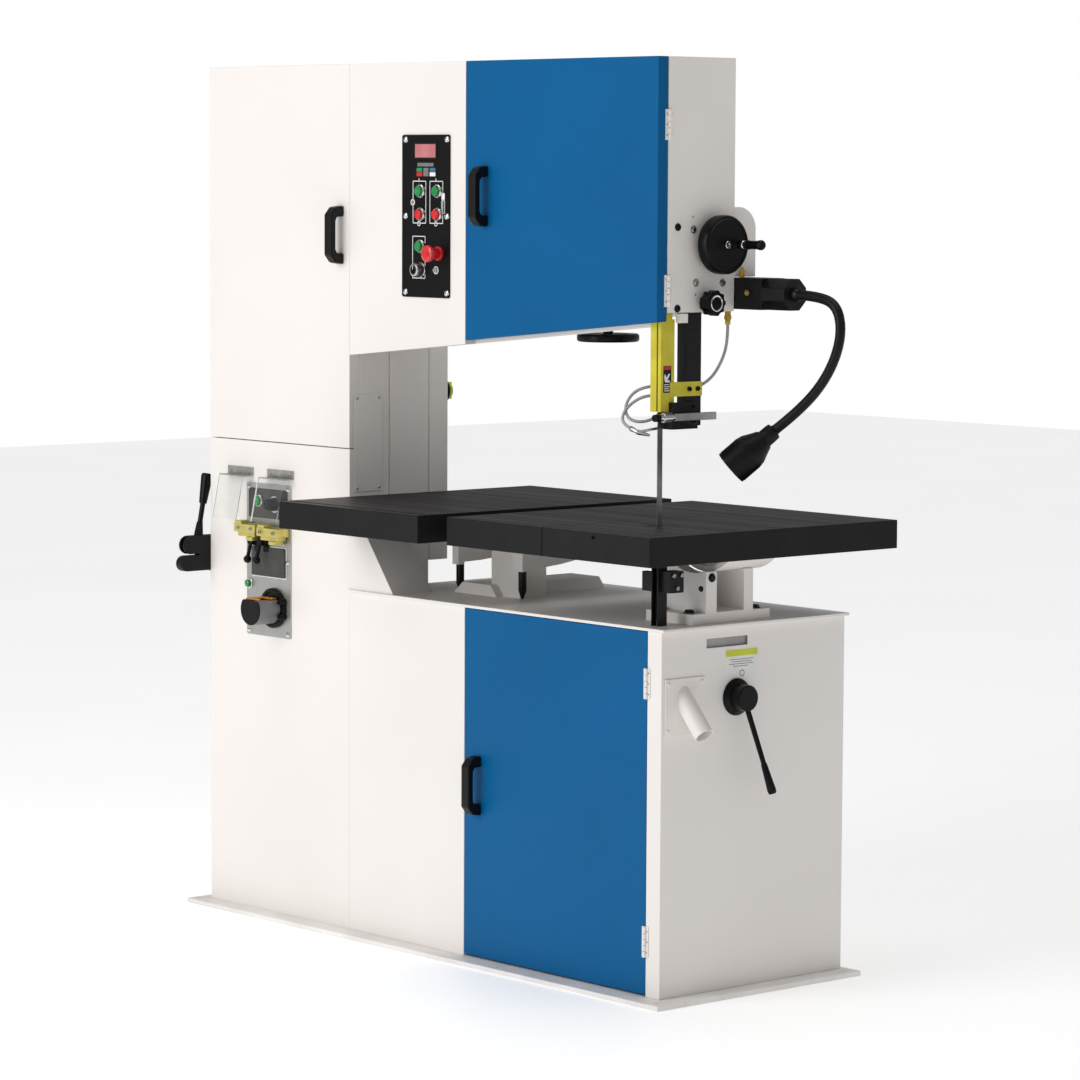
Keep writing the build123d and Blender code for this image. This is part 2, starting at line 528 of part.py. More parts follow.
def drive_motor():
    """Motor and two-speed gearbox on a stand; the driven wheel's axle runs in the gearbox."""
    x, z = LOWER_WHEEL
    box = fillet(block((x - 80, x + 80), (50, 190), (z - 80, z + 80)).edges(), 8)
    motor = rod(90, (x, 188, z), (x, 430, z)) + block((x - 150, x - 80), (260, 360), (z - 40, z + 40))
    stand = block((x - 95, x + 95), (70, 400), (BASE_THICK, BASE_THICK + 12))
    stand += block((x - 70, x - 58), (80, 390), (BASE_THICK, z - 60))
    stand += block((x + 58, x + 70), (80, 390), (BASE_THICK, z - 60))
    whole = box + motor + stand
    return whole - rod(AXLE_RADIUS + RUNNING_FIT, (x, 40, z), (x, 111, z))


def band_wheel(wheel, radius, axle_back):
    """Spoked wheel with its axle; the band runs a hair clear of the rim."""
    x, z = wheel
    rim = radius - BAND_THICK - RIM_CLEARANCE
    body = rod(rim, (x, -RIM_HALF, z), (x, RIM_HALF, z))
    for side in (-1, 1):
        body -= rod(rim - 14, (x, side * 3, z), (x, side * 30, z))
    body += rod(38, (x, -RIM_HALF, z), (x, 20, z))
    for k in range(6):
        turn = k * pi / 3
        hole = (x + 0.57 * radius * cos(turn), z + 0.57 * radius * sin(turn))
        body -= rod(0.2 * radius, (hole[0], -5, hole[1]), (hole[0], 5, hole[1]))
    return body + rod(AXLE_RADIUS, (x, -14, z), (x, axle_back, z))


def outline_of_band(inset):
    """Closed path round the three wheels, inset from the band's outer face."""
    upper, lower, left = (Vector(*wheel) for wheel in (UPPER_WHEEL, LOWER_WHEEL, LEFT_WHEEL))
    right_r, left_r = RIGHT_RADIUS - inset, LEFT_RADIUS - inset

    def tangent(start, start_r, end, end_r):
        """Points where an outside tangent leaves one circle and meets the next, both kept on its left."""
        run = end - start
        turn = atan2(run.Y, run.X) - pi / 2 + asin((start_r - end_r) / run.length)
        out = Vector(cos(turn), sin(turn))
        return start + out * start_r, end + out * end_r

    lower_out, upper_in = tangent(lower, right_r, upper, right_r)
    upper_out, left_in = tangent(upper, right_r, left, left_r)
    left_out, lower_in = tangent(left, left_r, lower, right_r)

    def over(centre, radius, first, last):
        """Middle point of the arc from first to last that lies away from the other wheels."""
        middle = ((first - centre) + (last - centre)).normalized()
        away = centre - (upper + lower + left) * (1 / 3)
        return centre + middle * (radius if middle.dot(away) > 0 else -radius)

    upper_middle = over(upper, right_r, upper_in, upper_out)
    left_middle = over(left, left_r, left_in, left_out)
    lower_middle = over(lower, right_r, lower_in, lower_out)
    runs = [Line(lower_out, upper_in), ThreePointArc(upper_in, upper_middle, upper_out),
            Line(upper_out, left_in), ThreePointArc(left_in, left_middle, left_out),
            Line(left_out, lower_in), ThreePointArc(lower_in, lower_middle, lower_out)]
    return make_face(Wire(runs))


def saw_blade():
    """Endless band: its outer face is the wheel's nominal radius."""
    band = outline_of_band(0) - outline_of_band(BAND_THICK)
    flat = extrude(band, amount=BAND_WIDE / 2, both=True)
    return Rot(90, 0, 0) * flat


def guide_post():
    return block(POST_X, POST_Y, POST_Z)


def blade_guard():
    """Channel in front of the blade; above the head's underside its left wall stops short of the wheel."""
    low, high, wall = 1147, 1520, 2
    guard = block((-15, 15), (-13.5, 16), (low, high))
    guard -= block((-15 + wall, 15 - wall), (-13.5 + wall, 17), (low - 1, high + 1))
    guard -= block((2.5, 6), (-15, 0), (low - 1, high + 1))
    guard -= block((-16, 2.6), (-15, 17), (1325, high + 1))
    guard += block((13, 15), (14, 22), (low, 1325))
    bracket = block((15, 18), (10, POST_Y[1]), (1176, 1204))
    return guard + bracket


def guide_block():
    """Block at the foot of the post with the carrier bar and the knurled guide screw."""
    body = block((-12, 24), (8, 76), (POST_Z[0] - 5, POST_Z[0]))
    body += block((15, 24), (8, 76), (POST_Z[0] - 5, 1165))
    body += block((-12, 15), (8, POST_Y[0]), (POST_Z[0] - 5, 1145))
    body += block((24, 32), (8, 118), (1130, 1144))
    return body + rod(7, (28, 9, 1137), (28, -42, 1137))


def air_nozzle():
    tail, hose_end = Vector(*HOSE[-2]), Vector(*HOSE[-1])
    elbow = hose_end + (hose_end - tail).normalized() * 20
    nozzle = rod(5, hose_end, elbow) + rod(5, elbow, (-13, -15, 1101), 2)
    stay = rod(3, elbow, (-10, 14, 1116))
    return nozzle + stay - guide_block()


def guide_handwheel():
    y, z = HANDWHEEL_AT
    face = 70.5
    wheel = rod(55, (face - 24, y, z), (face, y, z))
    wheel -= rod(44, (face - 25, y, z), (face - 8, y, z))
    wheel += rod(16, (HEAD_RIGHT + 8.5, y, z), (face - 4, y, z))
    wheel += rod(8, (-6, y, z), (face - 4, y, z))
    wheel += rod(PINION_RADIUS - SLIDE_CLEARANCE, (-5, y, z), (11, y, z))
    return wheel - rod(5 + RUNNING_FIT, (face - 12, y + 37, z), (face + 1, y + 37, z))


def crank_grip():
    y, z = HANDWHEEL_AT[0] + 37, HANDWHEEL_AT[1]
    grip = rod(7, (71, y, z), (88, y, z), 9) + rod(9, (88, y, z), (129, y, z))
    return fillet(grip.faces().sort_by(Axis.X)[-1].edges(), 3) + rod(5, (62, y, z), (72, y, z))


def lock_knob():
    y, z = LOCK_AT
    knob = rod(22, (44, y, z), (66, y, z))
    for k in range(9):
        at = (y + 20 * cos(k * 2 * pi / 9), z + 20 * sin(k * 2 * pi / 9))
        knob += rod(5, (44, *at), (66, *at))
    return knob + rod(6, (POST_X[1] + 0.6, y, z), (45, y, z))


def tension_wheel():
    x, y = TENSION_AT
    wheel = rod(62, (x, y, 1272), (x, y, 1288))
    wheel = fillet(wheel.edges(), 5)
    for k in range(3):
        at = (x + 36 * cos(k * 2 * pi / 3), y + 36 * sin(k * 2 * pi / 3))
        wheel -= rod(16, (*at, 1270), (*at, 1290))
    return wheel + rod(10, (x, y, 1273), (x, y, 1543))


def gear_lever():
    y, z = GEAR_AT
    flange = rod(36, (CABINET_RIGHT + 0.3, y, z), (CABINET_RIGHT + 8, y, z))
    drum = rod(26, (CABINET_RIGHT + 8, y, z), (CABINET_RIGHT + 34, y, z))
    shaft = rod(10.9, (20, y, z), (CABINET_RIGHT + 9, y, z))
    arm = rod(5, (CABINET_RIGHT + 24, y, z - 4), (CABINET_RIGHT + 62, y + 34, 417))
    grip = rod(7, (CABINET_RIGHT + 55, y + 28, 449), (CABINET_RIGHT + 64, y + 36, 398), 9)
    return flange + drum + shaft + arm + grip


def door_pan(outline):
    """Sheet pan, open at the back, from an outline of (x, z) points."""
    face = make_face(Polyline(*[(x, z) for x, z in outline], close=True))
    inner = offset(face, amount=-DOOR_SHEET, kind=Kind.INTERSECTION)
    pan = extrude(face, amount=DOOR_DEPTH) - Pos(0, 0, -1) * extrude(inner, amount=DOOR_DEPTH - DOOR_SHEET + 1)
    return Pos(0, DOOR_BACK, 0) * Rot(90, 0, 0) * pan


def door_outline(name):
    if name == "upper":
        return sloped_outline((UPPER_DOOR_LEFT, HEAD_RIGHT), 8, FRAME_TOP)
    column_door = ((COLUMN_LEFT, CABINET_LEFT - DOOR_GAP), (COLUMN_DOOR_BOTTOM, FRAME_TOP))
    x, z = LOWER_DOOR if name == "lower" else column_door
    return [(x[0], z[0]), (x[1], z[0]), (x[1], z[1]), (x[0], z[1])]


def door_handle(at):
    x, z = at
    outer = [(FRONT, -HANDLE_HALF), (-62, -58), (FRONT - HANDLE_REACH, -42), (FRONT - HANDLE_REACH, 42), (-62, 58),
             (FRONT, HANDLE_HALF)]
    inner = [(FRONT + 1, -38), (-56, -38), (-61, -30), (-61, 30), (-56, 38), (FRONT + 1, 38)]
    span = (x - HANDLE_WIDTH / 2, x + HANDLE_WIDTH / 2)
    bridge = side_prism([(y, z + dz) for y, dz in outer], span)
    return bridge - side_prism([(y, z + dz) for y, dz in inner], (span[0] - 1, span[1] + 1))


def hex_head(at, axis, size=10.0, height=6.0):
    """Hexagon head standing on the point given."""
    return extrude(Plane(origin=at, z_dir=axis) * RegularPolygon(size, 6), amount=height)


def fasteners():
    """Hexagon bolts and screw heads of the fixed frame, all separate solids."""
    heads = [hex_head((x, y, 753), (0, 0, 1)) for x, y in ((10, 71), (17, 240), (-75, 71), (-80, 240))]
    heads += [hex_head((HEAD_RIGHT, y, z), (1, 0, 0), 6, 4) for y, z in ((54, 1497), (61, 1395), (132, 1394))]
    for x in (CONTROL_X[0] + 10, CONTROL_X[1] - 10):
        heads += [rod(5, (x, PLATE_FRONT, z), (x, PLATE_FRONT - 3, z)) for z in (1360, 1515, 1670)]
    for x in (WELDER_X[0] + 9, WELDER_X[1] - 9):
        heads += [rod(4, (x, PLATE_FRONT, z), (x, PLATE_FRONT - 2.5, z)) for z in (617, 928)]
    for y in (-24, 65):
        heads += [rod(4, (CABINET_RIGHT + 3, y, z), (CABINET_RIGHT + 6, y, z)) for z in (530, 626)]
    heads += [rod(5, HOSE[0], (*HOSE[0][:2], skirt_height(17) + SKIRT_DROP - 0.1), 7)]   # bulkhead fitting
    return heads


def save(name, shape):
    parts = shape if isinstance(shape, list) else [shape]
    solids = [solid for part in parts for solid in part.solids()]
    export_step(Compound(children=solids) if len(solids) > 1 else solids[0], f"parts/{name}.step")


def main():
    os.makedirs("parts", exist_ok=True)
    fixed = [base_plate, cabinet_shell, cabinet_top, column_shell, head_shell, frame_post, electrical_box,
             service_covers, control_plate, welder_plate, weld_jaws, grinder_guard, shear_block, chip_chute,
             trunnion_cradle, lower_guide, aux_table, aux_pedestal, post_housing, lamp_base, drive_motor,
             fasteners, saw_blade]
    moving = [table_left, table_right, table_insert, trunnion_barrel, guide_post, blade_guard, guide_block,
              air_nozzle, guide_handwheel, crank_grip, lock_knob, tension_wheel, gear_lever, shear_lever,
              lamp_arm, lamp_head, emergency_stop, speed_knob, grinder_wheel]
    for make in fixed + moving:
        save(make.__name__, make())
    save("air_hose", tube(HOSE, HOSE_RADIUS))
    for name, at in HANDLES.items():
        save(f"{name}_door", door_pan(door_outline(name)))
        save(f"{name}_door_handle", door_handle(at))
    for name, at in BUTTONS.items():
        save(name, push_button(at))
    for number, x in enumerate(CLAMP_X, start=1):
        save(f"clamp_lever_{number}", clamp_lever(x))
    save("upper_wheel", band_wheel(UPPER_WHEEL, RIGHT_RADIUS, 120))
    save("lower_wheel", band_wheel(LOWER_WHEEL, RIGHT_RADIUS, 110))
    save("left_wheel", band_wheel(LEFT_WHEEL, LEFT_RADIUS, 58))


main()
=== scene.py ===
import json
import math
import bmesh
import bpy
from mathutils import Matrix, Vector


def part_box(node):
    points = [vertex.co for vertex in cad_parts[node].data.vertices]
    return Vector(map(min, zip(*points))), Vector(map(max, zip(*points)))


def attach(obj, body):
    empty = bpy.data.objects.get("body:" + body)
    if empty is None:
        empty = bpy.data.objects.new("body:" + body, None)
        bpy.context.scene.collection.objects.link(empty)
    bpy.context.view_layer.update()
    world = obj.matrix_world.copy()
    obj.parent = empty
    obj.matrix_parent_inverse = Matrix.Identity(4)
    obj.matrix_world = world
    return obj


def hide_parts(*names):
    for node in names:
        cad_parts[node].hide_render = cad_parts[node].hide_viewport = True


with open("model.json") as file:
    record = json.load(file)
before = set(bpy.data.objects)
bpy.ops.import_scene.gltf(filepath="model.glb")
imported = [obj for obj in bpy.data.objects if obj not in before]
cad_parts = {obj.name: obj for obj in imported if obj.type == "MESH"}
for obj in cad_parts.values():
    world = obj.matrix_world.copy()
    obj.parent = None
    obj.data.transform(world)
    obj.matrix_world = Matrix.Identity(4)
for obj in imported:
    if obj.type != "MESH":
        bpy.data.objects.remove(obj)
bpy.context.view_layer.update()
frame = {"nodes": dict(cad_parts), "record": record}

nodes = frame["nodes"]
bodyOf = {node: body for body, held in frame["record"]["behaviour"]["bodies"].items() for node in held}
mm = 0.001
softEdge = dict(segments=2, angle=32)       # how a piece's edges are rounded, and the bend that counts as one
print("frame loaded:", len(nodes), "nodes")


def addNode(tree, kind, inputs=None, **settings):
    # an input holds a value, another node's socket or a list of sockets
    node = tree.nodes.new(kind)
    for key, value in settings.items():
        setattr(node, key, value)
    for key, value in (inputs or {}).items():
        several = value if isinstance(value, list) else [value]
        if isinstance(several[0], bpy.types.NodeSocket):
            for socket in several:
                tree.links.new(socket, node.inputs[key])
        else:
            node.inputs[key].default_value = value
    return node


def linear(hexColour):
    channels = [int(hexColour[i:i + 2], 16) / 255 for i in (0, 2, 4)]
    return [c / 12.92 if c <= 0.04045 else ((c + 0.055) / 1.055) ** 2.4 for c in channels] + [1.0]


# Finishes. grain is the size of the surface texture and patch the size of its slow colour change, both in mm;
# stretch draws the grain out along an axis, as grinding and brushing do.
finishes = {
    # powder coat on sheet steel, sprayed and baked: even warm white with a fine orange peel
    "whitePowderCoat": dict(slot="white_paint", colour="F1ECE8", second="EDE8E3", rough=(0.36, 0.46), grain=4,
                            patch=420, bump=0.03, ior=1.5, specular=0.4),
    "basePowderCoat": dict(slot="base_paint", colour="F1EEEB", second="E4E0DC", rough=(0.4, 0.58), grain=4,
                           patch=120, bump=0.05, ior=1.5),
    "bluePowderCoat": dict(slot="blue_paint", colour="005E95", second="005A8F", rough=(0.36, 0.46), grain=4,
                           patch=420, bump=0.03, ior=1.5, specular=0.12),
    # anodised aluminium plate, printed: deep satin black
    "blackAnodised": dict(slot="black_anodised", colour="0A0A0B", second="0E0E10", rough=(0.34, 0.46),
                          grain=1.5, patch=60, bump=0.02, ior=1.5, specular=0.12),
    # satin enamel on machined steel: near black with a soft sheen
    "blackEnamel": dict(slot="black_paint", colour="0C0C0D", second="131314", rough=(0.3, 0.44), grain=3,
                        patch=50, bump=0.05, ior=1.5, specular=0.22),
    # cast iron ground on top and oiled: dark, glossy, with long fine grinding lines
    "groundCastIron": dict(slot="cast_iron_table", colour="1B1A1B", second="2C2A2B", rough=(0.42, 0.6),
                           grain=11, patch=150, bump=0.03, ior=1.5, specular=0.16, stretch=(0.012, 1, 1)),
    # the same casting's planed and painted edge: blacker and rougher, slightly pitted
    "castIronEdge": dict(slot="cast_iron_table", colour="181718", second="121213", rough=(0.42, 0.6),
                         grain=3.5, patch=70, bump=0.1, ior=1.5, specular=0.18),
    # enamel on the guard's sheet: a strong even yellow
    "yellowEnamel": dict(slot="yellow_paint", colour="D9CE33", second="C9BC28", rough=(0.3, 0.42), grain=3,
                         patch=40, bump=0.04, ior=1.5),
    # zinc plate passivated in chromate: pale greenish yellow metal
    "chromated": dict(slot="yellow_paint", colour="D8CC7A", second="C6B964", rough=(0.3, 0.42), grain=2,
                      patch=18, bump=0.03, metallic=0.6),
    # machine enamel on a rough casting: matt mid grey with slow patches
    "greyEnamel": dict(slot="grey_paint", colour="7E8284", second="6C7072", rough=(0.38, 0.55), grain=5,
                       patch=90, bump=0.08, ior=1.5),
    # zinc plated or chromed steel: bright, slightly cloudy
    "zincPlated": dict(slot="zinc_steel", colour="C2C2BE", second="A6A6A3", rough=(0.24, 0.4), grain=2,
                       patch=20, bump=0.03, metallic=1.0),
    "chromed": dict(slot="zinc_steel", colour="DADBDC", second="CBCCCD", rough=(0.08, 0.16), grain=2,
                    patch=20, bump=0.0, metallic=1.0),
    # sheet brushed up and down: soft streaked silver
    "brushedStainless": dict(slot="zinc_steel", colour="B9B9B6", second="A3A3A0", rough=(0.34, 0.46),
                             grain=1.6, patch=80, bump=0.05, metallic=0.8, stretch=(1, 1, 0.03)),
    # bare steel, surface ground: fine bright lines one way
    "groundSteel": dict(slot="ground_steel", colour="AEAEAC", second="8E8E8C", rough=(0.26, 0.4), grain=1.5,
                        patch=25, bump=0.05, metallic=1.0, stretch=(0.06, 1, 1)),
    # rolled spring steel: darker grey with lines along the band
    "bandSteel": dict(slot="blade_steel", colour="8A8A8C", second="6E6E70", rough=(0.28, 0.42), grain=1.5,
                      patch=30, bump=0.04, metallic=1.0, stretch=(1, 1, 0.04)),
    # turned fittings: dull gold
    "brass": dict(slot="zinc_steel", colour="C9A94A", second="A98A38", rough=(0.24, 0.36), grain=1.5,
                  patch=10, bump=0.02, metallic=1.0),
    # moulded phenolic and ABS: fine spark-eroded grain
    "blackPhenolic": dict(slot="black_plastic", colour="070708", second="0C0C0D", rough=(0.24, 0.36),
                          grain=1.4, patch=25, bump=0.04, ior=1.5, specular=0.16),
    "blackAbs": dict(slot="black_plastic", colour="0C0C0D", second="121213", rough=(0.34, 0.48), grain=1.2,
                     patch=25, bump=0.08, ior=1.5, specular=0.18),
    # moulded caps, polished: strong colours under a gloss
    "greenCap": dict(slot="green_plastic", colour="1F9A4C", second="178040", rough=(0.2, 0.3), grain=2,
                     patch=9, bump=0.01, ior=1.49, coat=0.4),
    "redCap": dict(slot="red_plastic", colour="DE2326", second="C61B20", rough=(0.2, 0.32), grain=2,
                   patch=14, bump=0.01, ior=1.49, coat=0.4),
    # dyed mouldings, satin
    "orangeRest": dict(slot="yellow_paint", colour="E59A22", second="C9831A", rough=(0.3, 0.45), grain=2,
                       patch=20, bump=0.03, ior=1.5),
    "limeKnob": dict(slot="yellow_paint", colour="CFD23A", second="BDBF2E", rough=(0.25, 0.4), grain=2,
                     patch=20, bump=0.03, ior=1.5),
    # vitrified grinding wheel: coarse, dry and speckled
    "bondedGrit": dict(slot="abrasive", colour="6E6862", second="8A837B", rough=(0.75, 0.95), grain=1.5,
                       patch=6, bump=0.5, ior=1.5),
    # screen-printed inks: flat and even
    "printedWhite": dict(slot="white_paint", colour="F2F2F0", second="E8E8E6", rough=(0.4, 0.5), grain=2,
                         patch=40, bump=0.01, ior=1.5),
    "printedYellow": dict(slot="yellow_paint", colour="D6DB3C", second="C8CE34", rough=(0.4, 0.5), grain=2,
                          patch=40, bump=0.01, ior=1.5),
    "printedGrey": dict(slot="grey_paint", colour="757677", second="6A6B6C", rough=(0.4, 0.5), grain=2,
                        patch=30, bump=0.01, ior=1.5),
    # mid grey for the sheet at the back of the side slot: painted shade of the slot's interior, not an ink
    "slotShadeGrey": dict(slot="grey_paint", colour="A5A5A3", second="9A9A98", rough=(0.4, 0.5), grain=2,
                        patch=30, bump=0.01, ior=1.5),
    "printedDark": dict(slot="grey_paint", colour="484945", second="403F3D", rough=(0.4, 0.5), grain=2,
                        patch=30, bump=0.01, ior=1.5, specular=0.3),
    "printedBlack": dict(slot="black_plastic", colour="121213", second="18181A", rough=(0.4, 0.5), grain=2,
                         patch=30, bump=0.01, ior=1.5, specular=0.2),
    "printedRed": dict(slot="red_plastic", colour="C3262B", second="B01F25", rough=(0.4, 0.5), grain=2,
                       patch=30, bump=0.01, ior=1.5),
    "printedBlue": dict(slot="blue_paint", colour="3C6E96", second="34648B", rough=(0.4, 0.5), grain=2,
                        patch=30, bump=0.01, ior=1.5),
    # tinted acrylic over the digits: glossy dusty red
    "displayWindow": dict(slot="red_plastic", colour="C97E80", second="BE7073", rough=(0.1, 0.18), grain=2,
                          patch=30, bump=0.0, ior=1.49, coat=0.6),
    # extruded PVC and cast acrylic: clear, so edges and highlights are what shows
    "clearPvc": dict(slot="hose_clear", colour="C6CACB", second="B4B9BA", rough=(0.1, 0.2), grain=3,
                     patch=20, bump=0.02, ior=1.45, clear=0.3),
    "clearAcrylic": dict(slot="hose_clear", colour="FCFDFD", second="F7F9F9", rough=(0.02, 0.06), grain=3,
                         patch=30, bump=0.0, ior=1.15, clear=0.98),
    # studio floor: pale sheet with a faint glow of its own, so that its far edge runs into the backdrop
    "paleFloor": dict(slot="white_paint", colour="F7F7F7", second="F4F4F4", rough=(0.5, 0.6), grain=6,
                      patch=900, bump=0.01, ior=1.5, specular=0.2, glow=0.33),
}


def makeFinish(name, look):
    material = bpy.data.materials.new(name)
    material.use_nodes = True
    tree = material.node_tree
    shader = tree.nodes["Principled BSDF"]
    where = addNode(tree, "ShaderNodeTexCoord").outputs["Object"]
    patches = addNode(tree, "ShaderNodeTexNoise",
                      {"Vector": where, "Scale": 1 / (look["patch"] * mm), "Detail": 3.0})
    stretched = addNode(tree, "ShaderNodeMapping", {"Vector": where, "Scale": look.get("stretch", (1, 1, 1))})
    grain = addNode(tree, "ShaderNodeTexNoise", {"Vector": stretched.outputs["Vector"],
                                                 "Scale": 1 / (look["grain"] * mm), "Detail": 2.0})
    share = addNode(tree, "ShaderNodeMapRange",
                    {"Value": patches.outputs["Fac"], "From Min": 0.35, "From Max": 0.65})
    if "stretch" in look:       # drawn lines show in the colour too
        share = addNode(tree, "ShaderNodeMath", {0: share.outputs["Result"], 1: grain.outputs["Fac"]},
                        operation="MULTIPLY")
    colours = addNode(tree, "ShaderNodeMix", {0: share.outputs[0], 6: linear(look["colour"]),
                                              7: linear(look["second"])}, data_type="RGBA")
    low, high = look["rough"]
    rough = addNode(tree, "ShaderNodeMapRange",
                    {"Value": grain.outputs["Fac"], "From Min": 0.3, "From Max": 0.7,
                     "To Min": low, "To Max": high})
    tree.links.new(colours.outputs[2], shader.inputs["Base Color"])
    tree.links.new(rough.outputs["Result"], shader.inputs["Roughness"])
    if look["bump"]:
        bump = addNode(tree, "ShaderNodeBump", {"Height": grain.outputs["Fac"], "Strength": look["bump"],
                                                "Distance": look["grain"] * mm})
        tree.links.new(bump.outputs["Normal"], shader.inputs["Normal"])
    shader.inputs["Metallic"].default_value = look.get("metallic", 0.0)
    shader.inputs["Coat Weight"].default_value = look.get("coat", 0.0)
    if "ior" in look:
        shader.inputs["IOR"].default_value = look["ior"]
    shader.inputs["Specular IOR Level"].default_value = look.get("specular", 0.5)
    shader.inputs["Transmission Weight"].default_value = look.get("clear", 0.0)
    shader.inputs["Emission Color"].default_value = (1, 1, 1, 1)
    shader.inputs["Emission Strength"].default_value = look.get("glow", 0.0)
    return material


materials = {name: makeFinish(name, look) for name, look in finishes.items()}
print("finishes made:", len(materials))


# Shapes, all in mm in the saw's own frame, added to one bmesh
def slab(shape, lo, hi):
    size = [b - a for a, b in zip(lo, hi)]
    middle = [(a + b) / 2 for a, b in zip(lo, hi)]
    place = Matrix.Translation(Vector(middle) * mm) @ Matrix.Diagonal(Vector([s * mm for s in size] + [1]))
    bmesh.ops.create_cube(shape, size=1, matrix=place)


def prism(shape, outline, axis, start, end):
    # outline is in the plane square to the axis: (y, z) for x, (x, z) for y, (x, y) for z
    def point(a, b, along):
        return {"x": (along, a, b), "y": (a, along, b), "z": (a, b, along)}[axis]
    near = [shape.verts.new(Vector(point(a, b, start)) * mm) for a, b in outline]
    far = [shape.verts.new(Vector(point(a, b, end)) * mm) for a, b in outline]
    shape.faces.new(near)
    shape.faces.new(far[::-1])
    for i in range(len(outline)):
        j = (i + 1) % len(outline)
        shape.faces.new((near[j], near[i], far[i], far[j]))


def turned(shape, profile, at, axis, steps=40, loop=False):
    # profile is (radius, height) along the axis from the point given
    turn = Vector(axis).to_track_quat("Z", "Y").to_matrix()
    rings = []
    for radius, height in profile:
        angles = [0] if radius == 0 else [2 * math.pi * k / steps for k in range(steps)]
        rings.append([shape.verts.new((Vector(at) + turn @ Vector(
            (radius * math.cos(a), radius * math.sin(a), height))) * mm) for a in angles])
    pairs = list(zip(rings, rings[1:] + rings[:1])) if loop else list(zip(rings, rings[1:]))
    for low, high in pairs:
        for k in range(steps):
            corners = [low[k % len(low)], low[(k + 1) % len(low)], high[(k + 1) % len(high)],
                       high[k % len(high)]]
            shape.faces.new(list(dict.fromkeys(corners)))
    if not loop:
        for ring in (rings[0], rings[-1]):
            if len(ring) > 1:
                shape.faces.new(ring)


def place(name, shape, finish, body, bevel=0.0, stands=(), angle=softEdge["angle"]):
    # turns a bmesh or a finished mesh into a piece that rides on a body
    if isinstance(shape, bmesh.types.BMesh):
        bmesh.ops.recalc_face_normals(shape, faces=shape.faces)
        mesh = bpy.data.meshes.new(name)
        shape.to_mesh(mesh)
        shape.free()
    else:
        mesh = shape
    mesh.name = name
    piece = bpy.data.objects.new(name, mesh)
    bpy.context.scene.collection.objects.link(piece)
    if not mesh.materials:
        mesh.materials.append(materials[finish])
    mesh.polygons.foreach_set("use_smooth", [True] * len(mesh.polygons))
    mesh.set_sharp_from_angle(angle=math.radians(angle))
    if bevel:
        soft = piece.modifiers.new("edges", "BEVEL")
        soft.width, soft.segments, soft.limit_method = bevel * mm, softEdge["segments"], "ANGLE"
        soft.angle_limit = math.radians(angle)
        soft.harden_normals = True
    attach(piece, body)
    if stands:
        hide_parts(*stands)
    return piece


def dress(node, finish, bevel, top=None, name=None):
    # a cleaned copy of a CAD node with softened edges
    # top is the finish of its upward faces at its full height
    shape = bmesh.new()
    shape.from_mesh(nodes[node].data)
    bmesh.ops.remove_doubles(shape, verts=shape.verts, dist=0.01 * mm)
    bmesh.ops.dissolve_limit(shape, angle_limit=math.radians(0.6), verts=shape.verts, edges=shape.edges)
    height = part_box(node)[1].z
    mesh = bpy.data.meshes.new(node)
    shape.to_mesh(mesh)
    shape.free()
    mesh.materials.clear()
    mesh.materials.append(materials[finish])
    if top:
        mesh.materials.append(materials[top])
        for face in mesh.polygons:
            if face.normal.z > 0.9 and face.center.z > height - 0.5 * mm:
                face.material_index = 1
    return place(name or node + "_formed", mesh, finish, bodyOf[node], bevel, [node])


def paint(node, finish):
    nodes[node].data.materials.clear()
    nodes[node].data.materials.append(materials[finish])


# Geometry Nodes: one item repeated along a line, round a ring, or at marked points
def newTree(name, sizes):
    tree = bpy.data.node_groups.new(name, "GeometryNodeTree")
    tree.interface.new_socket("Geometry", in_out="INPUT", socket_type="NodeSocketGeometry")
    for label, kind in sizes:
        tree.interface.new_socket(label, in_out="INPUT", socket_type=kind)
    tree.interface.new_socket("Geometry", in_out="OUTPUT", socket_type="NodeSocketGeometry")
    return tree, addNode(tree, "NodeGroupInput").outputs


def endTree(tree, geometry, given):
    real = addNode(tree, "GeometryNodeRealizeInstances", {"Geometry": geometry})
    finished = addNode(tree, "GeometryNodeSetMaterial",
                       {"Geometry": real.outputs[0], "Material": given["Finish"]})
    addNode(tree, "NodeGroupOutput", {"Geometry": finished.outputs[0]})
    return tree


def rowTree():
    tree, given = newTree("row", [("Item", "NodeSocketObject"), ("Count", "NodeSocketInt"),
                                  ("Start", "NodeSocketVector"), ("Step", "NodeSocketVector"),
                                  ("Finish", "NodeSocketMaterial")])
    line = addNode(tree, "GeometryNodeMeshLine", {"Count": given["Count"], "Start Location": given["Start"],
                                                  "Offset": given["Step"]})
    item = addNode(tree, "GeometryNodeObjectInfo", {"Object": given["Item"]})
    row = addNode(tree, "GeometryNodeInstanceOnPoints", {"Points": line.outputs[0],
                                                         "Instance": item.outputs["Geometry"]})
    return endTree(tree, row.outputs[0], given)


def ringTree():
    # items stand on a circle round Z, each turned to face outwards
    tree, given = newTree("ring", [("Item", "NodeSocketObject"), ("Count", "NodeSocketInt"),
                                   ("Radius", "NodeSocketFloat"), ("Finish", "NodeSocketMaterial")])
    circle = addNode(tree, "GeometryNodeMeshCircle", {"Vertices": given["Count"], "Radius": given["Radius"]})
    spot = addNode(tree, "GeometryNodeInputPosition")
    facing = addNode(tree, "FunctionNodeAlignRotationToVector", {"Vector": spot.outputs[0]}, axis="X")
    item = addNode(tree, "GeometryNodeObjectInfo", {"Object": given["Item"]})
    ring = addNode(tree, "GeometryNodeInstanceOnPoints", {"Points": circle.outputs[0],
                                                          "Instance": item.outputs["Geometry"],
                                                          "Rotation": facing.outputs[0]})
    return endTree(tree, ring.outputs[0], given)


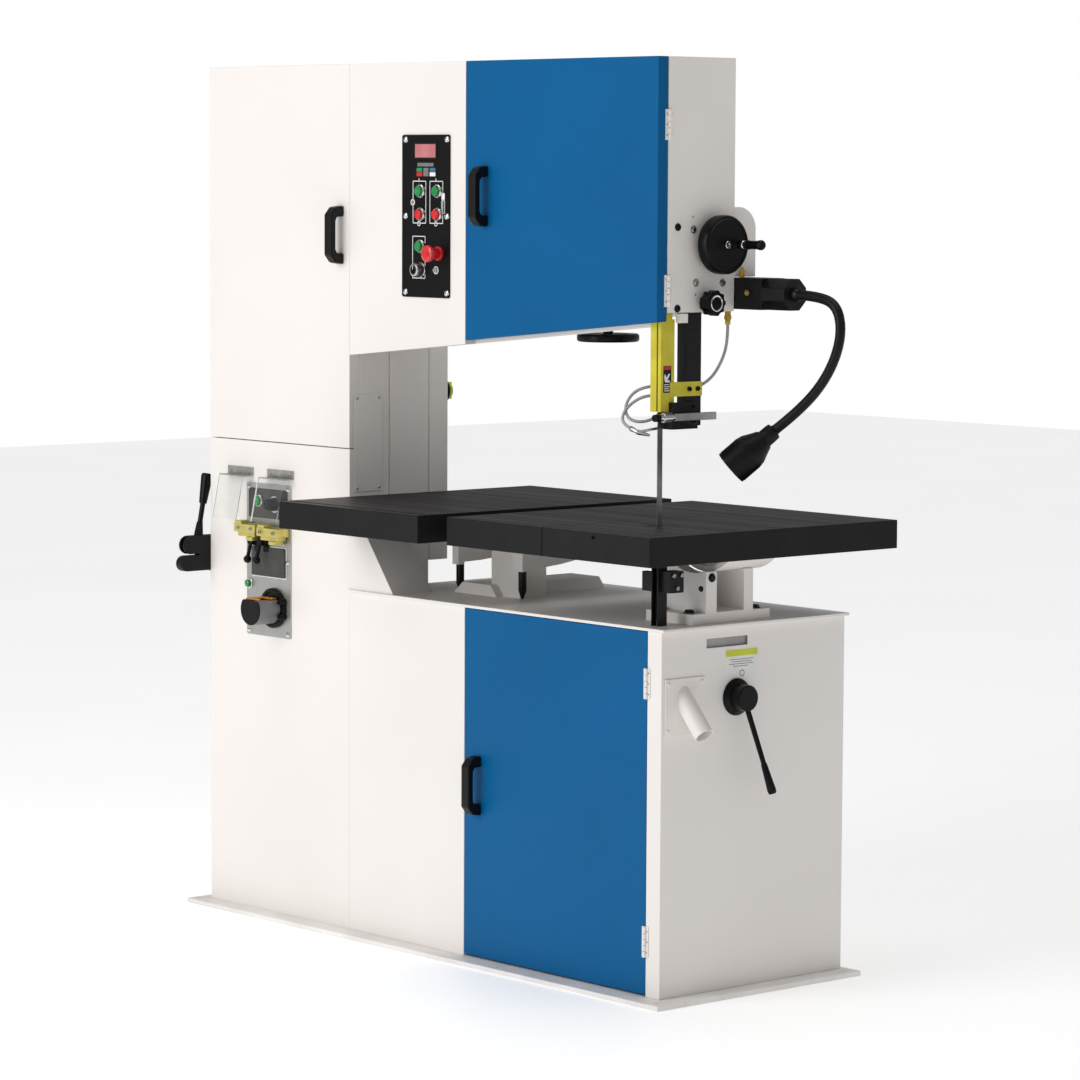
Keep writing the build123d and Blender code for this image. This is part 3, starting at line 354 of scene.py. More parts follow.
def boltTree():
    # items stand on marked points along each point's axis, turned by chance as bolts are when tightened
    tree, given = newTree("bolts", [("Item", "NodeSocketObject"), ("Seed", "NodeSocketInt"),
                                    ("Finish", "NodeSocketMaterial")])
    axis = addNode(tree, "GeometryNodeInputNamedAttribute", {"Name": "axis"}, data_type="FLOAT_VECTOR")
    stand = addNode(tree, "FunctionNodeAlignRotationToVector", {"Vector": axis.outputs[0]}, axis="Z")
    chance = addNode(tree, "FunctionNodeRandomValue", {"Seed": given["Seed"], "Max": (0.0, 0.0, 1.05)},
                     data_type="FLOAT_VECTOR")
    turn = addNode(tree, "FunctionNodeEulerToRotation", {"Euler": chance.outputs[0]})
    both = addNode(tree, "FunctionNodeRotateRotation",
                   {"Rotation": stand.outputs[0], "Rotate By": turn.outputs[0]},
                   rotation_space="LOCAL")
    item = addNode(tree, "GeometryNodeObjectInfo", {"Object": given["Item"]})
    bolts = addNode(tree, "GeometryNodeInstanceOnPoints", {"Points": given["Geometry"],
                                                           "Instance": item.outputs["Geometry"],
                                                           "Rotation": both.outputs[0]})
    return endTree(tree, bolts.outputs[0], given)


def conduitTree():
    # a core tube with a ring at every turn of the winding, along the curve that it is given
    tree, given = newTree("conduit", [("Core", "NodeSocketFloat"), ("Ring", "NodeSocketFloat"),
                                      ("Pitch", "NodeSocketFloat"), ("Finish", "NodeSocketMaterial")])
    smooth = addNode(tree, "GeometryNodeResampleCurve", {"Curve": given["Geometry"], "Count": 120})
    circle = addNode(tree, "GeometryNodeCurvePrimitiveCircle", {"Resolution": 28, "Radius": given["Core"]})
    core = addNode(tree, "GeometryNodeCurveToMesh",
                   {"Curve": smooth.outputs[0], "Profile Curve": circle.outputs[0],
                    "Fill Caps": True})
    spots = addNode(tree, "GeometryNodeResampleCurve", {"Curve": given["Geometry"], "Length": given["Pitch"]},
                    mode="LENGTH")
    tangent = addNode(tree, "GeometryNodeInputTangent")
    across = addNode(tree, "FunctionNodeAlignRotationToVector", {"Vector": tangent.outputs[0]}, axis="Z")
    hoop = addNode(tree, "GeometryNodeCurvePrimitiveCircle", {"Resolution": 28, "Radius": given["Core"]})
    wire = addNode(tree, "GeometryNodeCurvePrimitiveCircle", {"Resolution": 8, "Radius": given["Ring"]})
    ring = addNode(tree, "GeometryNodeCurveToMesh",
                   {"Curve": hoop.outputs[0], "Profile Curve": wire.outputs[0]})
    rings = addNode(tree, "GeometryNodeInstanceOnPoints",
                    {"Points": spots.outputs[0], "Instance": ring.outputs[0],
                     "Rotation": across.outputs[0]})
    both = addNode(tree, "GeometryNodeJoinGeometry", {"Geometry": [core.outputs[0], rings.outputs[0]]})
    return endTree(tree, both.outputs[0], given)


trees = {"row": rowTree(), "ring": ringTree(), "bolts": boltTree(), "conduit": conduitTree()}


def grow(name, treeName, data, finish, body, values, matrix=None, stands=(), angle=softEdge["angle"]):
    # runs a tree on some data and keeps the result as a plain mesh
    source = bpy.data.objects.new(name + "_source", data)
    bpy.context.scene.collection.objects.link(source)
    maker = source.modifiers.new("maker", "NODES")
    maker.node_group = trees[treeName]
    values = dict(values, Finish=materials[finish])
    for socket in trees[treeName].interface.items_tree:
        if socket.in_out == "INPUT" and socket.name in values:
            maker[socket.identifier] = values[socket.name]
    bpy.context.view_layer.update()
    graph = bpy.context.evaluated_depsgraph_get()
    mesh = bpy.data.meshes.new_from_object(source.evaluated_get(graph), depsgraph=graph)
    source.modifiers.remove(maker)
    bpy.data.objects.remove(source)
    if "Item" in values:
        bpy.data.objects.remove(values["Item"])
    if matrix:
        mesh.transform(matrix)
    return place(name, mesh, finish, body, stands=stands, angle=angle)


def asItem(shape):
    bmesh.ops.recalc_face_normals(shape, faces=shape.faces)
    mesh = bpy.data.meshes.new("item")
    shape.to_mesh(mesh)
    shape.free()
    item = bpy.data.objects.new("item", mesh)
    bpy.context.scene.collection.objects.link(item)
    return item


def row(name, shape, count, start, step, finish, body):
    values = {"Item": asItem(shape), "Count": count, "Start": [v * mm for v in start],
              "Step": [v * mm for v in step]}
    return grow(name, "row", bpy.data.meshes.new(name), finish, body, values)


def ring(name, shape, count, radius, at, axis, finish, body):
    values = {"Item": asItem(shape), "Count": count, "Radius": radius * mm}
    turn = Vector(axis).to_track_quat("Z", "Y").to_matrix().to_4x4()
    matrix = Matrix.Translation(Vector(at) * mm) @ turn
    return grow(name, "ring", bpy.data.meshes.new(name), finish, body, values, matrix)


def bolts(name, kind, spots, axis, finish, body, size, seed=3, stands=()):
    # kind is hex, cap or dome; size is the head's radius in mm
    shape = bmesh.new()
    if kind == "hex":
        turned(shape, [(size * 1.35, 0), (size * 1.35, 0.18 * size), (0, 0.18 * size)], (0, 0, 0), (0, 0, 1),
               24)
        turned(shape, [(size * 1.12, 0.2 * size), (size * 1.12, 0.62 * size), (size * 0.95, 0.78 * size),
                       (0, 0.78 * size)], (0, 0, 0), (0, 0, 1), 6)
    if kind == "cap":       # socket cap screw with its hexagon recess
        turned(shape, [(size, 0), (size, 0.8 * size), (size * 0.88, 0.95 * size), (size * 0.52, 0.95 * size),
                       (size * 0.5, 0.5 * size), (0, 0.5 * size)], (0, 0, 0), (0, 0, 1), 24)
    if kind == "dome":
        turned(shape, [(size, 0), (size, 0.15 * size), (size * 0.8, 0.45 * size), (size * 0.4, 0.58 * size),
                       (size * 0.3, 0.6 * size), (size * 0.24, 0.4 * size), (0, 0.4 * size)],
               (0, 0, 0), (0, 0, 1), 20)
    points = bpy.data.meshes.new(name)
    points.from_pydata([[v * mm for v in spot] for spot in spots], [], [])
    marked = points.attributes.new("axis", "FLOAT_VECTOR", "POINT")
    marked.data.foreach_set("vector", [v for _ in spots for v in axis])
    return grow(name, "bolts", points, finish, body, {"Item": asItem(shape), "Seed": seed}, stands=stands)


print("tools ready")

# Sheet-metal frame
frameLooks = {"base_plate": ("basePowderCoat", 1.5), "cabinet_shell": ("whitePowderCoat", 1.2),
              "cabinet_top": ("whitePowderCoat", 1.2), "column_shell": ("whitePowderCoat", 1.2),
              "head_shell": ("whitePowderCoat", 1.2), "frame_post": ("whitePowderCoat", 3.0),
              "electrical_box": ("whitePowderCoat", 1.0), "service_covers": ("whitePowderCoat", 0.6),
              "post_housing": ("whitePowderCoat", 1.5), "chip_chute": ("whitePowderCoat", 0.8),
              "trunnion_cradle": ("whitePowderCoat", 2.0), "aux_pedestal": ("whitePowderCoat", 1.5),
              "drive_motor": ("greyEnamel", 2.0), "lamp_base": ("blackEnamel", 1.2),
              "lower_guide": ("blackEnamel", 0.8),
              "column_door": ("whitePowderCoat", 1.6), "upper_door": ("bluePowderCoat", 1.6),
              "lower_door": ("bluePowderCoat", 1.6), "column_door_handle": ("blackAbs", 3.5),
              "upper_door_handle": ("blackAbs", 3.5), "lower_door_handle": ("blackAbs", 3.5),
              "trunnion_barrel": ("whitePowderCoat", 1.5), "guide_post": ("blackEnamel", 1.5),
              "blade_guard": ("yellowEnamel", 0.6), "guide_block": ("blackEnamel", 1.0),
              "upper_wheel": ("groundSteel", 1.0), "lower_wheel": ("groundSteel", 1.0),
              "left_wheel": ("groundSteel", 1.0), "lock_knob": ("blackPhenolic", 1.8),
              "tension_wheel": ("blackPhenolic", 2.0), "table_insert": ("groundCastIron", 0.5),
              "clamp_lever_1": ("blackPhenolic", 0.8), "clamp_lever_2": ("blackPhenolic", 0.8)}
for node, (finish, edge) in frameLooks.items():
    dress(node, finish, edge)
for node in ("table_left", "table_right", "aux_table"):
    dress(node, "castIronEdge", 1.2, top="groundCastIron")
paint("saw_blade", "bandSteel")
paint("grinder_wheel", "bondedGrit")
print("frame dressed")

# Door hinges: knuckles on a pin, a narrow leaf on each side and small dome screws
hinges = {"upperTop": dict(at=(35, -13), z=(1668, 1727), fixed="side", door="upper_door"),
          "upperLow": dict(at=(35, -13), z=(1350, 1411), fixed="side", door="upper_door"),
          "lowerTop": dict(at=(12, -44), z=(594, 653), fixed="front", door="lower_door"),
          "lowerLow": dict(at=(12, -44), z=(89, 149), fixed="front", door="lower_door"),
          "columnTop": dict(at=(-1407, -13), z=(1690, 1750), fixed="left", door="column_door"),
          "columnLow": dict(at=(-1407, -13), z=(1100, 1160), fixed="left", door="column_door")}
leaf = dict(inner=1, outer=9, thick=2.2, screw=6)       # mm from the pin, and the leaf's thickness
for name, hinge in hinges.items():
    (px, py), (low, high) = hinge["at"], hinge["z"]
    thick, screw = leaf["thick"], leaf["screw"]
    knuckle = bmesh.new()
    turned(knuckle, [(4, 0), (4, 10.4), (3.2, 11), (0, 11)], (0, 0, 0), (0, 0, 1), 20)
    row(name + "_knuckles", knuckle, 5, (px, py, low), (0, 0, (high - low) / 5), "whitePowderCoat", "frame")
    fixedLeaf, doorLeaf = bmesh.new(), bmesh.new()
    if hinge["fixed"] == "front":
        front = -40 - thick
        slab(fixedLeaf, (px + leaf["inner"], front, low), (px + leaf["outer"], -40, high))
        slab(doorLeaf, (px - leaf["outer"], front, low), (px - leaf["inner"], -40, high))
        spot, doorSpot, face = (px + screw, front), (px - screw, front), (0, -1, 0)
    else:
        side = 1 if hinge["fixed"] == "side" else -1
        wall = px - side * 4
        near, far = sorted((wall, wall + side * thick))
        slab(fixedLeaf, (near, py + leaf["inner"], low), (far, py + leaf["outer"], high))
        slab(doorLeaf, (near, py - leaf["outer"], low), (far, py - leaf["inner"], high))
        outside = wall + side * thick
        spot, doorSpot, face = (outside, py + screw), (outside, py - screw), (side, 0, 0)
    place(name + "_leaf", fixedLeaf, "whitePowderCoat", "frame", bevel=0.6)
    place(name + "_door_leaf", doorLeaf, "whitePowderCoat", hinge["door"], bevel=0.6)
    heights = [low + 9, (low + high) / 2, high - 9]
    bolts(name + "_screws", "dome", [(*spot, z) for z in heights], face, "zincPlated", "frame", 1.8)
    bolts(name + "_door_screws", "dome", [(*doorSpot, z) for z in heights], face, "zincPlated",
          hinge["door"], 1.8)
print("hinges made")

# Control plate
control = dict(x=(-738, -586), z=(1350, 1680), front=-43.0, columns=(-675, -621), green=1566, red=1519,
               start=1454, knob=(-675, 1406), stop=(-618, 1440), lock=(-628, 1406))
left, right = control["columns"]
buttons = {"green_button_1": (left, control["green"]), "green_button_2": (right, control["green"]),
           "green_button_3": (left, control["start"]), "red_button_1": (left, control["red"]),
           "red_button_2": (right, control["red"]), "weld_button": (-1220, 899)}


def rounded(lo, hi, radius, steps=5):
    # corners of a rectangle with rounded corners
    (x0, y0), (x1, y1) = lo, hi
    centres = [(x1 - radius, y0 + radius, -90), (x1 - radius, y1 - radius, 0),
               (x0 + radius, y1 - radius, 90), (x0 + radius, y0 + radius, 180)]
    return [(cx + radius * math.cos(math.radians(a + 90 * k / steps)),
             cy + radius * math.sin(math.radians(a + 90 * k / steps)))
            for cx, cy, a in centres for k in range(steps + 1)]


def outline(shape, lo, hi, y, width=1.6, gaps=()):
    # printed line round a group, standing 0.25 mm proud; gaps are x ranges left open in its top and bottom
    (x0, z0), (x1, z1) = lo, hi
    for z in (z0, z1):
        spans = [(x0, x1)]
        for a, b in gaps:
            spans = [(x0, a), (b, x1)]
        for a, b in spans:
            slab(shape, (a, y - 0.25, z - width / 2), (b, y, z + width / 2))
    for x in (x0, x1):
        slab(shape, (x - width / 2, y - 0.25, z0 + width / 2), (x + width / 2, y, z1 - width / 2))


(cx0, cx1), (cz0, cz1), face = control["x"], control["z"], control["front"]
shape = bmesh.new()
prism(shape, rounded((cx0, cz0), (cx1, cz1), 5), "y", face, face + 3)
place("control_plate_panel", shape, "blackAnodised", "frame", bevel=0.4, stands=["control_plate"])
shape = bmesh.new()
for x in control["columns"]:
    outline(shape, (x - 27, 1501), (x + 14, 1586), face)
    slab(shape, (x - 8.8, face - 0.25, 1586.8), (x - 7.2, face, 1592))
    turned(shape, [(3.6, 0), (5.2, 0), (5.2, 0.25), (3.6, 0.25)], (x - 8, face, 1500), (0, -1, 0), 24,
           loop=True)
outline(shape, (-703, 1389), (-663, 1474), face)
turned(shape, [(4.6, 0), (6.6, 0), (6.6, 0.25), (4.6, 0.25)], (-703, face, 1543), (0, -1, 0), 24, loop=True)
slab(shape, (-611, face - 0.3, 1549), (-601, face, 1562))
outline(shape, (-611, 1522), (-601, 1547), face, 1.2)
x, z = control["lock"]
turned(shape, [(6, 0), (8, 0), (8, 0.4), (6, 0.4)], (x, face, z), (0, -1, 0), 28, loop=True)
place("control_plate_print", shape, "printedWhite", "frame")
shape = bmesh.new()
prism(shape, rounded((-697, 1631), (-626, 1664), 2), "y", face - 1.2, face)
prism(shape, rounded((-690, 1614), (-633, 1625), 2), "y", face - 0.8, face)
place("display_surround", shape, "printedBlack", "frame", bevel=0.3)
shape = bmesh.new()
slab(shape, (-694, face - 1.8, 1634), (-629, face - 1.2, 1661))
place("display_window", shape, "displayWindow", "frame", bevel=0.2)
shape = bmesh.new()
slab(shape, (-687, face - 1.1, 1616), (-636, face - 0.8, 1623))
slab(shape, (-668, face - 1.1, 1596), (-652, face, 1613))
place("keypad_grey", shape, "printedGrey", "frame", bevel=0.2)
for name, finish, (x0, x1, z0, z1) in (("key_green", "greenCap", (-690, -672, 1605, 1613)),
                                       ("key_red", "redCap", (-690, -672, 1596, 1604)),
                                       ("key_blue", "printedBlue", (-648, -630, 1605, 1613)),
                                       ("key_white", "printedWhite", (-648, -630, 1596, 1604))):
    shape = bmesh.new()
    slab(shape, (x0, face - 1.1, z0), (x1, face, z1))
    place(name, shape, finish, "frame", bevel=0.4)
shape = bmesh.new()
for name, (x, z) in buttons.items():
    turned(shape, [(10.4, 0), (13.5, 0), (14, 0.6), (14, 4.6), (13.2, 5.6), (12.4, 6.9), (11, 6.9),
                   (10.4, 6.0)], (x, face, z), (0, -1, 0), 40, loop=True)
x, z = control["knob"]
turned(shape, [(7, 0), (15.4, 0), (15.4, 3), (14.4, 4.2), (7, 4.2)], (x, face, z), (0, -1, 0), 40, loop=True)
x, z = control["lock"]
turned(shape, [(5.2, 0), (5.2, 5), (4.6, 5.6), (1.2, 5.6), (1.0, 3.4), (0, 3.4)], (x, face, z), (0, -1, 0),
       32)
place("control_bezels", shape, "chromed", "frame", bevel=0.3)
for name, (x, z) in buttons.items():
    shape = bmesh.new()
    turned(shape, [(0, 4.6), (9.9, 4.6), (9.9, 10.4), (9.3, 11.6), (8, 12.0), (6.6, 11.8), (0, 12.4)],
           (x, face, z), (0, -1, 0), 40)
    place(name + "_cap", shape, "greenCap" if "red" not in name else "redCap", name, stands=[name])
x, z = control["stop"]
shape = bmesh.new()
turned(shape, [(7, 0), (14.6, 0), (14.6, 5.4), (13.4, 6.8), (7, 6.8)], (x, face, z), (0, -1, 0), 40,
       loop=True)
place("stop_bezel", shape, "redCap", "frame", bevel=0.3)
shape = bmesh.new()
turned(shape, [(0, 4.5), (6, 4.5), (6, 6), (11.4, 6.4), (11.8, 12), (12.6, 22), (15.6, 25), (17.2, 28),
               (17.5, 31), (16.6, 34), (14, 35.6), (9, 36), (0, 36)], (x, face, z), (0, -1, 0), 48)
place("emergency_stop_cap", shape, "redCap", "emergency_stop", stands=["emergency_stop"])
x, z = control["knob"]
shape = bmesh.new()
turned(shape, [(0, -0.5), (5.9, -0.5), (5.9, 5), (14.2, 5), (14.2, 17), (13.2, 20.5), (11, 22), (9, 22),
               (9, 20.6), (0, 20.6)], (x, face, z), (0, -1, 0), 48)
place("speed_knob_skirt", shape, "zincPlated", "speed_knob", stands=["speed_knob"], bevel=0.3)
shape = bmesh.new()
turned(shape, [(0, 20.4), (8.8, 20.4), (8.8, 21.6), (0, 22.0)], (x, face, z), (0, -1, 0), 36)
slab(shape, (x - 1.3, face - 23.0, z - 8), (x + 1.3, face - 20.6, z + 8))
place("speed_knob_face", shape, "blackPhenolic", "speed_knob")
shape = bmesh.new()
slab(shape, (x - 0.7, face - 23.3, z + 1), (x + 0.7, face - 22.8, z + 8))
place("speed_knob_mark", shape, "printedWhite", "speed_knob")
bolts("control_screws", "dome", [(a, face, b) for a in (cx0 + 13, cx1 - 7) for b in (1360, 1515, 1670)],
      (0, -1, 0), "chromed", "frame", 6.5, 5, stands=["fasteners"])
print("control plate made")

# Blade welder
welder = dict(x=(-1268, -1113), z=(608, 937), lamp=(-1257, 718), pressure=(-1168, 894), grinder=(-1170, 671))
(wx0, wx1), (wz0, wz1) = welder["x"], welder["z"]
shape = bmesh.new()
prism(shape, rounded((wx0, wz0), (wx1, wz1), 4), "y", face, face + 3)
place("welder_plate_panel", shape, "brushedStainless", "frame", bevel=0.4, stands=["welder_plate"])
shape = bmesh.new()
prism(shape, rounded((wx0 + 8, 862), (wx1 - 10, 926), 3), "y", face - 0.4, face)
prism(shape, rounded((-1246, 738), (-1130, 800), 2), "y", face - 4, face)
place("welder_screens", shape, "printedDark", "frame", bevel=0.3)
shape = bmesh.new()
outline(shape, (-1248, 736), (-1128, 802), face - 0.2, 2.0)
for k in range(9):
    slab(shape, (-1222 + 10 * k, face - 0.3, 806), (-1216 + 10 * k, face, 810))
place("welder_print", shape, "printedWhite", "frame")
x, z = welder["pressure"]
shape = bmesh.new()
turned(shape, [(0, 0), (14.5, 0), (14.5, 6), (12.6, 8), (12.6, 20), (11.6, 21.6), (0, 22)], (x, face, z),
       (0, -1, 0), 44)
place("pressure_knob", shape, "blackPhenolic", "frame", bevel=0.5)
shape = bmesh.new()
turned(shape, [(14.8, 0), (18, 0), (18, 1.4), (14.8, 1.4)], (x, face, z), (0, -1, 0), 44, loop=True)
x, z = welder["lamp"]
turned(shape, [(8, 0), (12, 0), (12, 3), (10.8, 4), (8, 4)], (x, face, z), (0, -1, 0), 32, loop=True)
place("welder_bezels", shape, "chromed", "frame", bevel=0.3)
shape = bmesh.new()
turned(shape, [(0, 0), (8.4, 0), (8.4, 6), (7, 9.4), (4, 11.4), (0, 12)], (x, face, z), (0, -1, 0), 32)
place("signal_lamp", shape, "greenCap", "frame")
bolts("welder_screws", "dome", [(a, face, b) for a in (wx0 + 9, wx1 - 9) for b in (617, 772, 928)],
      (0, -1, 0), "chromed", "frame", 5.5, 7)

# Welding jaws, levers' block and the two hinged shields
shape = bmesh.new()
for x0, x1, z0 in ((-1272, -1198, 822), (-1192, -1118, 818)):
    slab(shape, (x0, face - 32, z0 + 9), (x1, face, z0 + 27))
    slab(shape, (x0 + 8, face - 27, z0), (x1 - 8, face - 2, z0 + 9))
    slab(shape, (x0 + 5, face - 34, z0 + 27), (x0 + 28, face - 12, z0 + 34))
    slab(shape, (x1 - 34, face - 30, z0 - 8), (x1 - 12, face - 6, z0))
place("weld_jaws_brass", shape, "chromated", "frame", bevel=1.0, stands=["weld_jaws"])
shape = bmesh.new()
for x in (-1226, -1194):
    turned(shape, [(4.3, 0), (9, 0), (9, 14), (4.3, 14)], (x, face, 812), (0, -1, 0), 32, loop=True)
    slab(shape, (x - 8, face - 6, 790), (x + 8, face, 803))
slab(shape, (-1238, face - 12, 820), (-1182, face - 2, 828))
place("clamp_block", shape, "blackEnamel", "frame", bevel=0.8)
bolts("jaw_screws", "cap", [(-1256, face - 32, 840), (-1212, face - 32, 840), (-1178, face - 32, 836),
                            (-1132, face - 32, 836)], (0, -1, 0), "zincPlated", "frame", 4)
shields = {"left": dict(x=(-1336, -1246), z=(950, 969)), "right": dict(x=(-1196, -1104), z=(950, 969))}
for name, shield in shields.items():
    (x0, x1), (z0, z1) = shield["x"], shield["z"]
    shape = bmesh.new()
    slab(shape, (x0, -43, z0), (x1, -39.8, z1))
    slab(shape, (x0, -68, z0), (x1, -43, z0 + 2))
    place(name + "_shield_bracket", shape, "zincPlated", "frame", bevel=0.5)
    bolts(name + "_shield_screws", "dome", [(x0 + 12, -43, (z0 + z1) / 2), (x1 - 12, -43, (z0 + z1) / 2)],
          (0, -1, 0), "zincPlated", "frame", 4)
    shape = bmesh.new()
    prism(shape, [(-66.2, z0 + 3), (-68.2, z0 + 3), (-88.2, z0 - 92), (-86.2, z0 - 92)], "x", x0 + 2, x1 - 2)
    place(name + "_shield", shape, "clearAcrylic", "frame", bevel=0.5)
    # white strip along each shield's end: painted highlight standing in for the lit edge of the clear acrylic
    shape = bmesh.new()
    prism(shape, [(-66, z0 + 3), (-68.4, z0 + 3), (-88.4, z0 - 92), (-86, z0 - 92)], "x", x0 + 1, x0 + 4)
    place(name + "_shield_edge", shape, "printedWhite", "frame", bevel=0.3)

# Grinder: clamp ring with two lugs, hood and rest
x, z = welder["grinder"]
shape = bmesh.new()
turned(shape, [(5.2, 0), (43, 0), (43, 7), (41, 9), (35, 9), (34, 6), (5.2, 6)], (x, face, z), (0, -1, 0), 64,
       loop=True)
for a in (-22, 24):
    lug = (x + 41 * math.cos(math.radians(a)), z + 41 * math.sin(math.radians(a)))
    turned(shape, [(0, 0), (7, 0), (7, 14), (5.6, 17), (0, 18)], (lug[0], face, lug[1]), (0, -1, 0), 28)
place("grinder_ring", shape, "blackPhenolic", "frame", bevel=0.5, stands=["grinder_guard"])
arc = [(x + 33 * math.cos(math.radians(a)), z + 33 * math.sin(math.radians(a))) for a in range(140, 401, 8)]
inner = [(x + 30.5 * math.cos(math.radians(a)),
          z + 30.5 * math.sin(math.radians(a))) for a in range(137, 404, 8)]
shape = bmesh.new()
prism(shape, arc, "y", face - 66, face - 63)
place("grinder_front", shape, "blackPhenolic", "frame", bevel=0.8)
shape = bmesh.new()
prism(shape, arc + inner[::-1], "y", face - 63, face - 9)
place("grinder_hood", shape, "printedGrey", "frame", bevel=0.4)
shape = bmesh.new()
prism(shape, [(x - 25, face - 9), (x - 25, face - 58), (x + 20, face - 58), (x + 20, face - 52),
              (x - 6, face - 52),
              (x - 6, face - 22), (x + 20, face - 22), (x + 20, face - 9)], "z", z + 21, z + 24)
place("grinder_rest", shape, "orangeRest", "frame", bevel=0.5)
print("welder made")

# Hand controls on the head's side
hand = dict(at=(108, 1468), face=70.5, grip=37, lock=(84, 1356))
hy, hz = hand["at"]
shape = bmesh.new()
turned(shape, [(0, 6), (15, 6), (15, 0), (46, -2), (55, -2), (57, 1), (57, 20), (54.5, 24), (52, 24.6),
               (50, 24), (48, 22.6), (0, 22.6)], (hand["face"] - 24, hy, hz), (1, 0, 0), 72)
turned(shape, [(0, 0), (16, 0), (16, 12), (0, 12)], (39.5, hy, hz), (1, 0, 0), 32)
place("guide_handwheel_disc", shape, "blackPhenolic", "guide_handwheel", bevel=0.5,
      stands=["guide_handwheel"])
shape = bmesh.new()
turned(shape, [(0, 0), (8, 0), (8, 46), (0, 46)], (-6, hy, hz), (1, 0, 0), 24)
turned(shape, [(0, 0), (14.7, 0), (14.7, 16), (0, 16)], (-5, hy, hz), (1, 0, 0), 32)
turned(shape, [(0, -1), (7.4, -1), (7.4, 2), (6.4, 3), (3.4, 3), (3.2, 1.2), (0, 1.2)], (70.5, hy, hz),
       (1, 0, 0), 32)
place("guide_handwheel_nut", shape, "chromed", "guide_handwheel", bevel=0.3)
gy = hy + hand["grip"]
shape = bmesh.new()
turned(shape, [(0, 0), (5, 0), (5, 9), (8.4, 10.5), (8.4, 15), (7, 16.5), (7, 22), (0, 22)], (62.5, gy, hz),
       (1, 0, 0), 32)
place("crank_grip_collar", shape, "chromed", "crank_grip", bevel=0.3, stands=["crank_grip"])
shape = bmesh.new()
turned(shape, [(0, 84), (8, 84), (9.6, 87), (8.2, 96), (8.6, 116), (9.8, 121), (9.8, 126), (8, 129),
               (0, 129)], (0, gy, hz), (1, 0, 0), 36)
place("crank_grip_sleeve", shape, "blackPhenolic", "crank_grip")
ly, lz = hand["lock"]
shape = bmesh.new()
turned(shape, [(12.5, -1), (16, -1), (16, 1.2), (14.6, 2), (12.5, 1.4)], (66, ly, lz), (1, 0, 0), 36,
       loop=True)
place("lock_knob_ring", shape, "chromed", "lock_knob")
shape = bmesh.new()
turned(shape, [(0, 0), (13, 0), (13, 8), (0, 8)], (31, ly, lz), (1, 0, 0), 32)
place("lock_knob_boss", shape, "blackEnamel", "frame", bevel=0.6)
headBolts = [(31, 54, 1497), (31, 61, 1395), (31, 132, 1394)]
bolts("head_bolts", "hex", headBolts, (1, 0, 0), "zincPlated", "frame", 5.4, 11)
shape = bmesh.new()
for spot in headBolts:
    turned(shape, [(0, 0), (7.6, 0), (7.6, 1.2), (0, 1.2)], spot, (1, 0, 0), 28)
place("head_washers", shape, "zincPlated", "frame", bevel=0.2)
bolts("head_plugs", "dome", [(31, 13, 1502), (31, 13, 1346)], (1, 0, 0), "blackAbs", "frame", 7.5, 2)
bolts("head_marks", "dome", [(31, 52, 1522), (31, 60, 1372), (31, 128, 1368)], (1, 0, 0), "zincPlated",
      "frame", 2.4, 4)

# Guide post, guard, screw and nozzle
shape = bmesh.new()
turned(shape, [(0, 0), (7.2, 0), (7.2, 7), (9.2, 7), (9.2, 29), (7.2, 29), (7.2, 38), (0, 38)], (28, 9, 1137),
       (0, -1, 0), 28)
place("guide_screw", shape, "chromed", "guide", bevel=0.4)
shape = bmesh.new()
slab(shape, (-0.4, -0.4, 0), (0.4, 0.4, 18))
ring("guide_screw_knurl", shape, 30, 9.2, (28, 0, 1137), (0, -1, 0), "chromed", "guide")
shape = bmesh.new()
slab(shape, (23.8, 7.7, 1129.7), (32.3, 118.3, 1144.3))
place("carrier_bar", shape, "groundSteel", "guide", bevel=0.8)
shape = bmesh.new()
turned(shape, [(0, 0), (7.2, 0), (7.2, 12), (5.4, 14), (0, 14)], (28, -28.6, 1137), (0, -1, 0), 24)
place("guide_screw_end", shape, "blackPhenolic", "guide", bevel=0.3)
bolts("guard_bolts", "cap", [(18, 58, 1190), (18, 80, 1190)], (1, 0, 0), "blackEnamel", "guide", 4.6, 6)
bolts("block_bolts", "cap", [(24, 66, 1128), (24, 66, 1156)], (1, 0, 0), "blackEnamel", "guide", 3.6, 8)
shape = bmesh.new()
slab(shape, (15, -7, 1184), (15.3, 13.5, 1236))
place("guard_label", shape, "printedBlack", "guide")
shape = bmesh.new()
slab(shape, (15.2, -6, 1228), (15.5, 12.5, 1235))
place("guard_label_band", shape, "printedRed", "guide")
shape = bmesh.new()
prism(shape, [(-3, 1204), (9.5, 1204), (9.5, 1208), (3.5, 1208), (10, 1219), (7.5, 1222), (1, 1213),
              (-3, 1221), (-5, 1215)], "x", 15.2, 15.5)
for k in range(4):
    slab(shape, (15.2, -5, 1187 + 4 * k), (15.5, 10 - 2 * (k % 2), 1188.6 + 4 * k))
place("guard_label_print", shape, "printedWhite", "guide")
shape = bmesh.new()
slab(shape, (19, 20, 1318), (31, 42, 1336))
place("guard_bracket", shape, "whitePowderCoat", "frame", bevel=0.8)
hose = dict(points=((24, 154, 1312), (24, 154, 1280), (21, 144, 1244), (12, 124, 1208), (-12, 103, 1188),
                    (-42, 72, 1189), (-66, 42, 1194), (-87, 12, 1184), (-91, -10, 1157), (-74, -20, 1132),
                    (-51, -8, 1123), (-36, 22, 1132), (-39, 44, 1156), (-55, 34, 1177), (-75, 8, 1169),
                    (-84, -20, 1145), (-71, -36, 1122), (-48, -34, 1114)), radius=3, length=0.563)
(ax, ay, az), (bx, by, bz) = hose["points"][-2:]
along = Vector((bx - ax, by - ay, bz - az)).normalized()
end = Vector(hose["points"][-1])
elbow = end + along * 20
shape = bmesh.new()
turned(shape, [(0, 0), (4.6, 0), (5, 1), (5, 8), (4.2, 8.6), (4.2, 20), (0, 20)], end, along, 24)
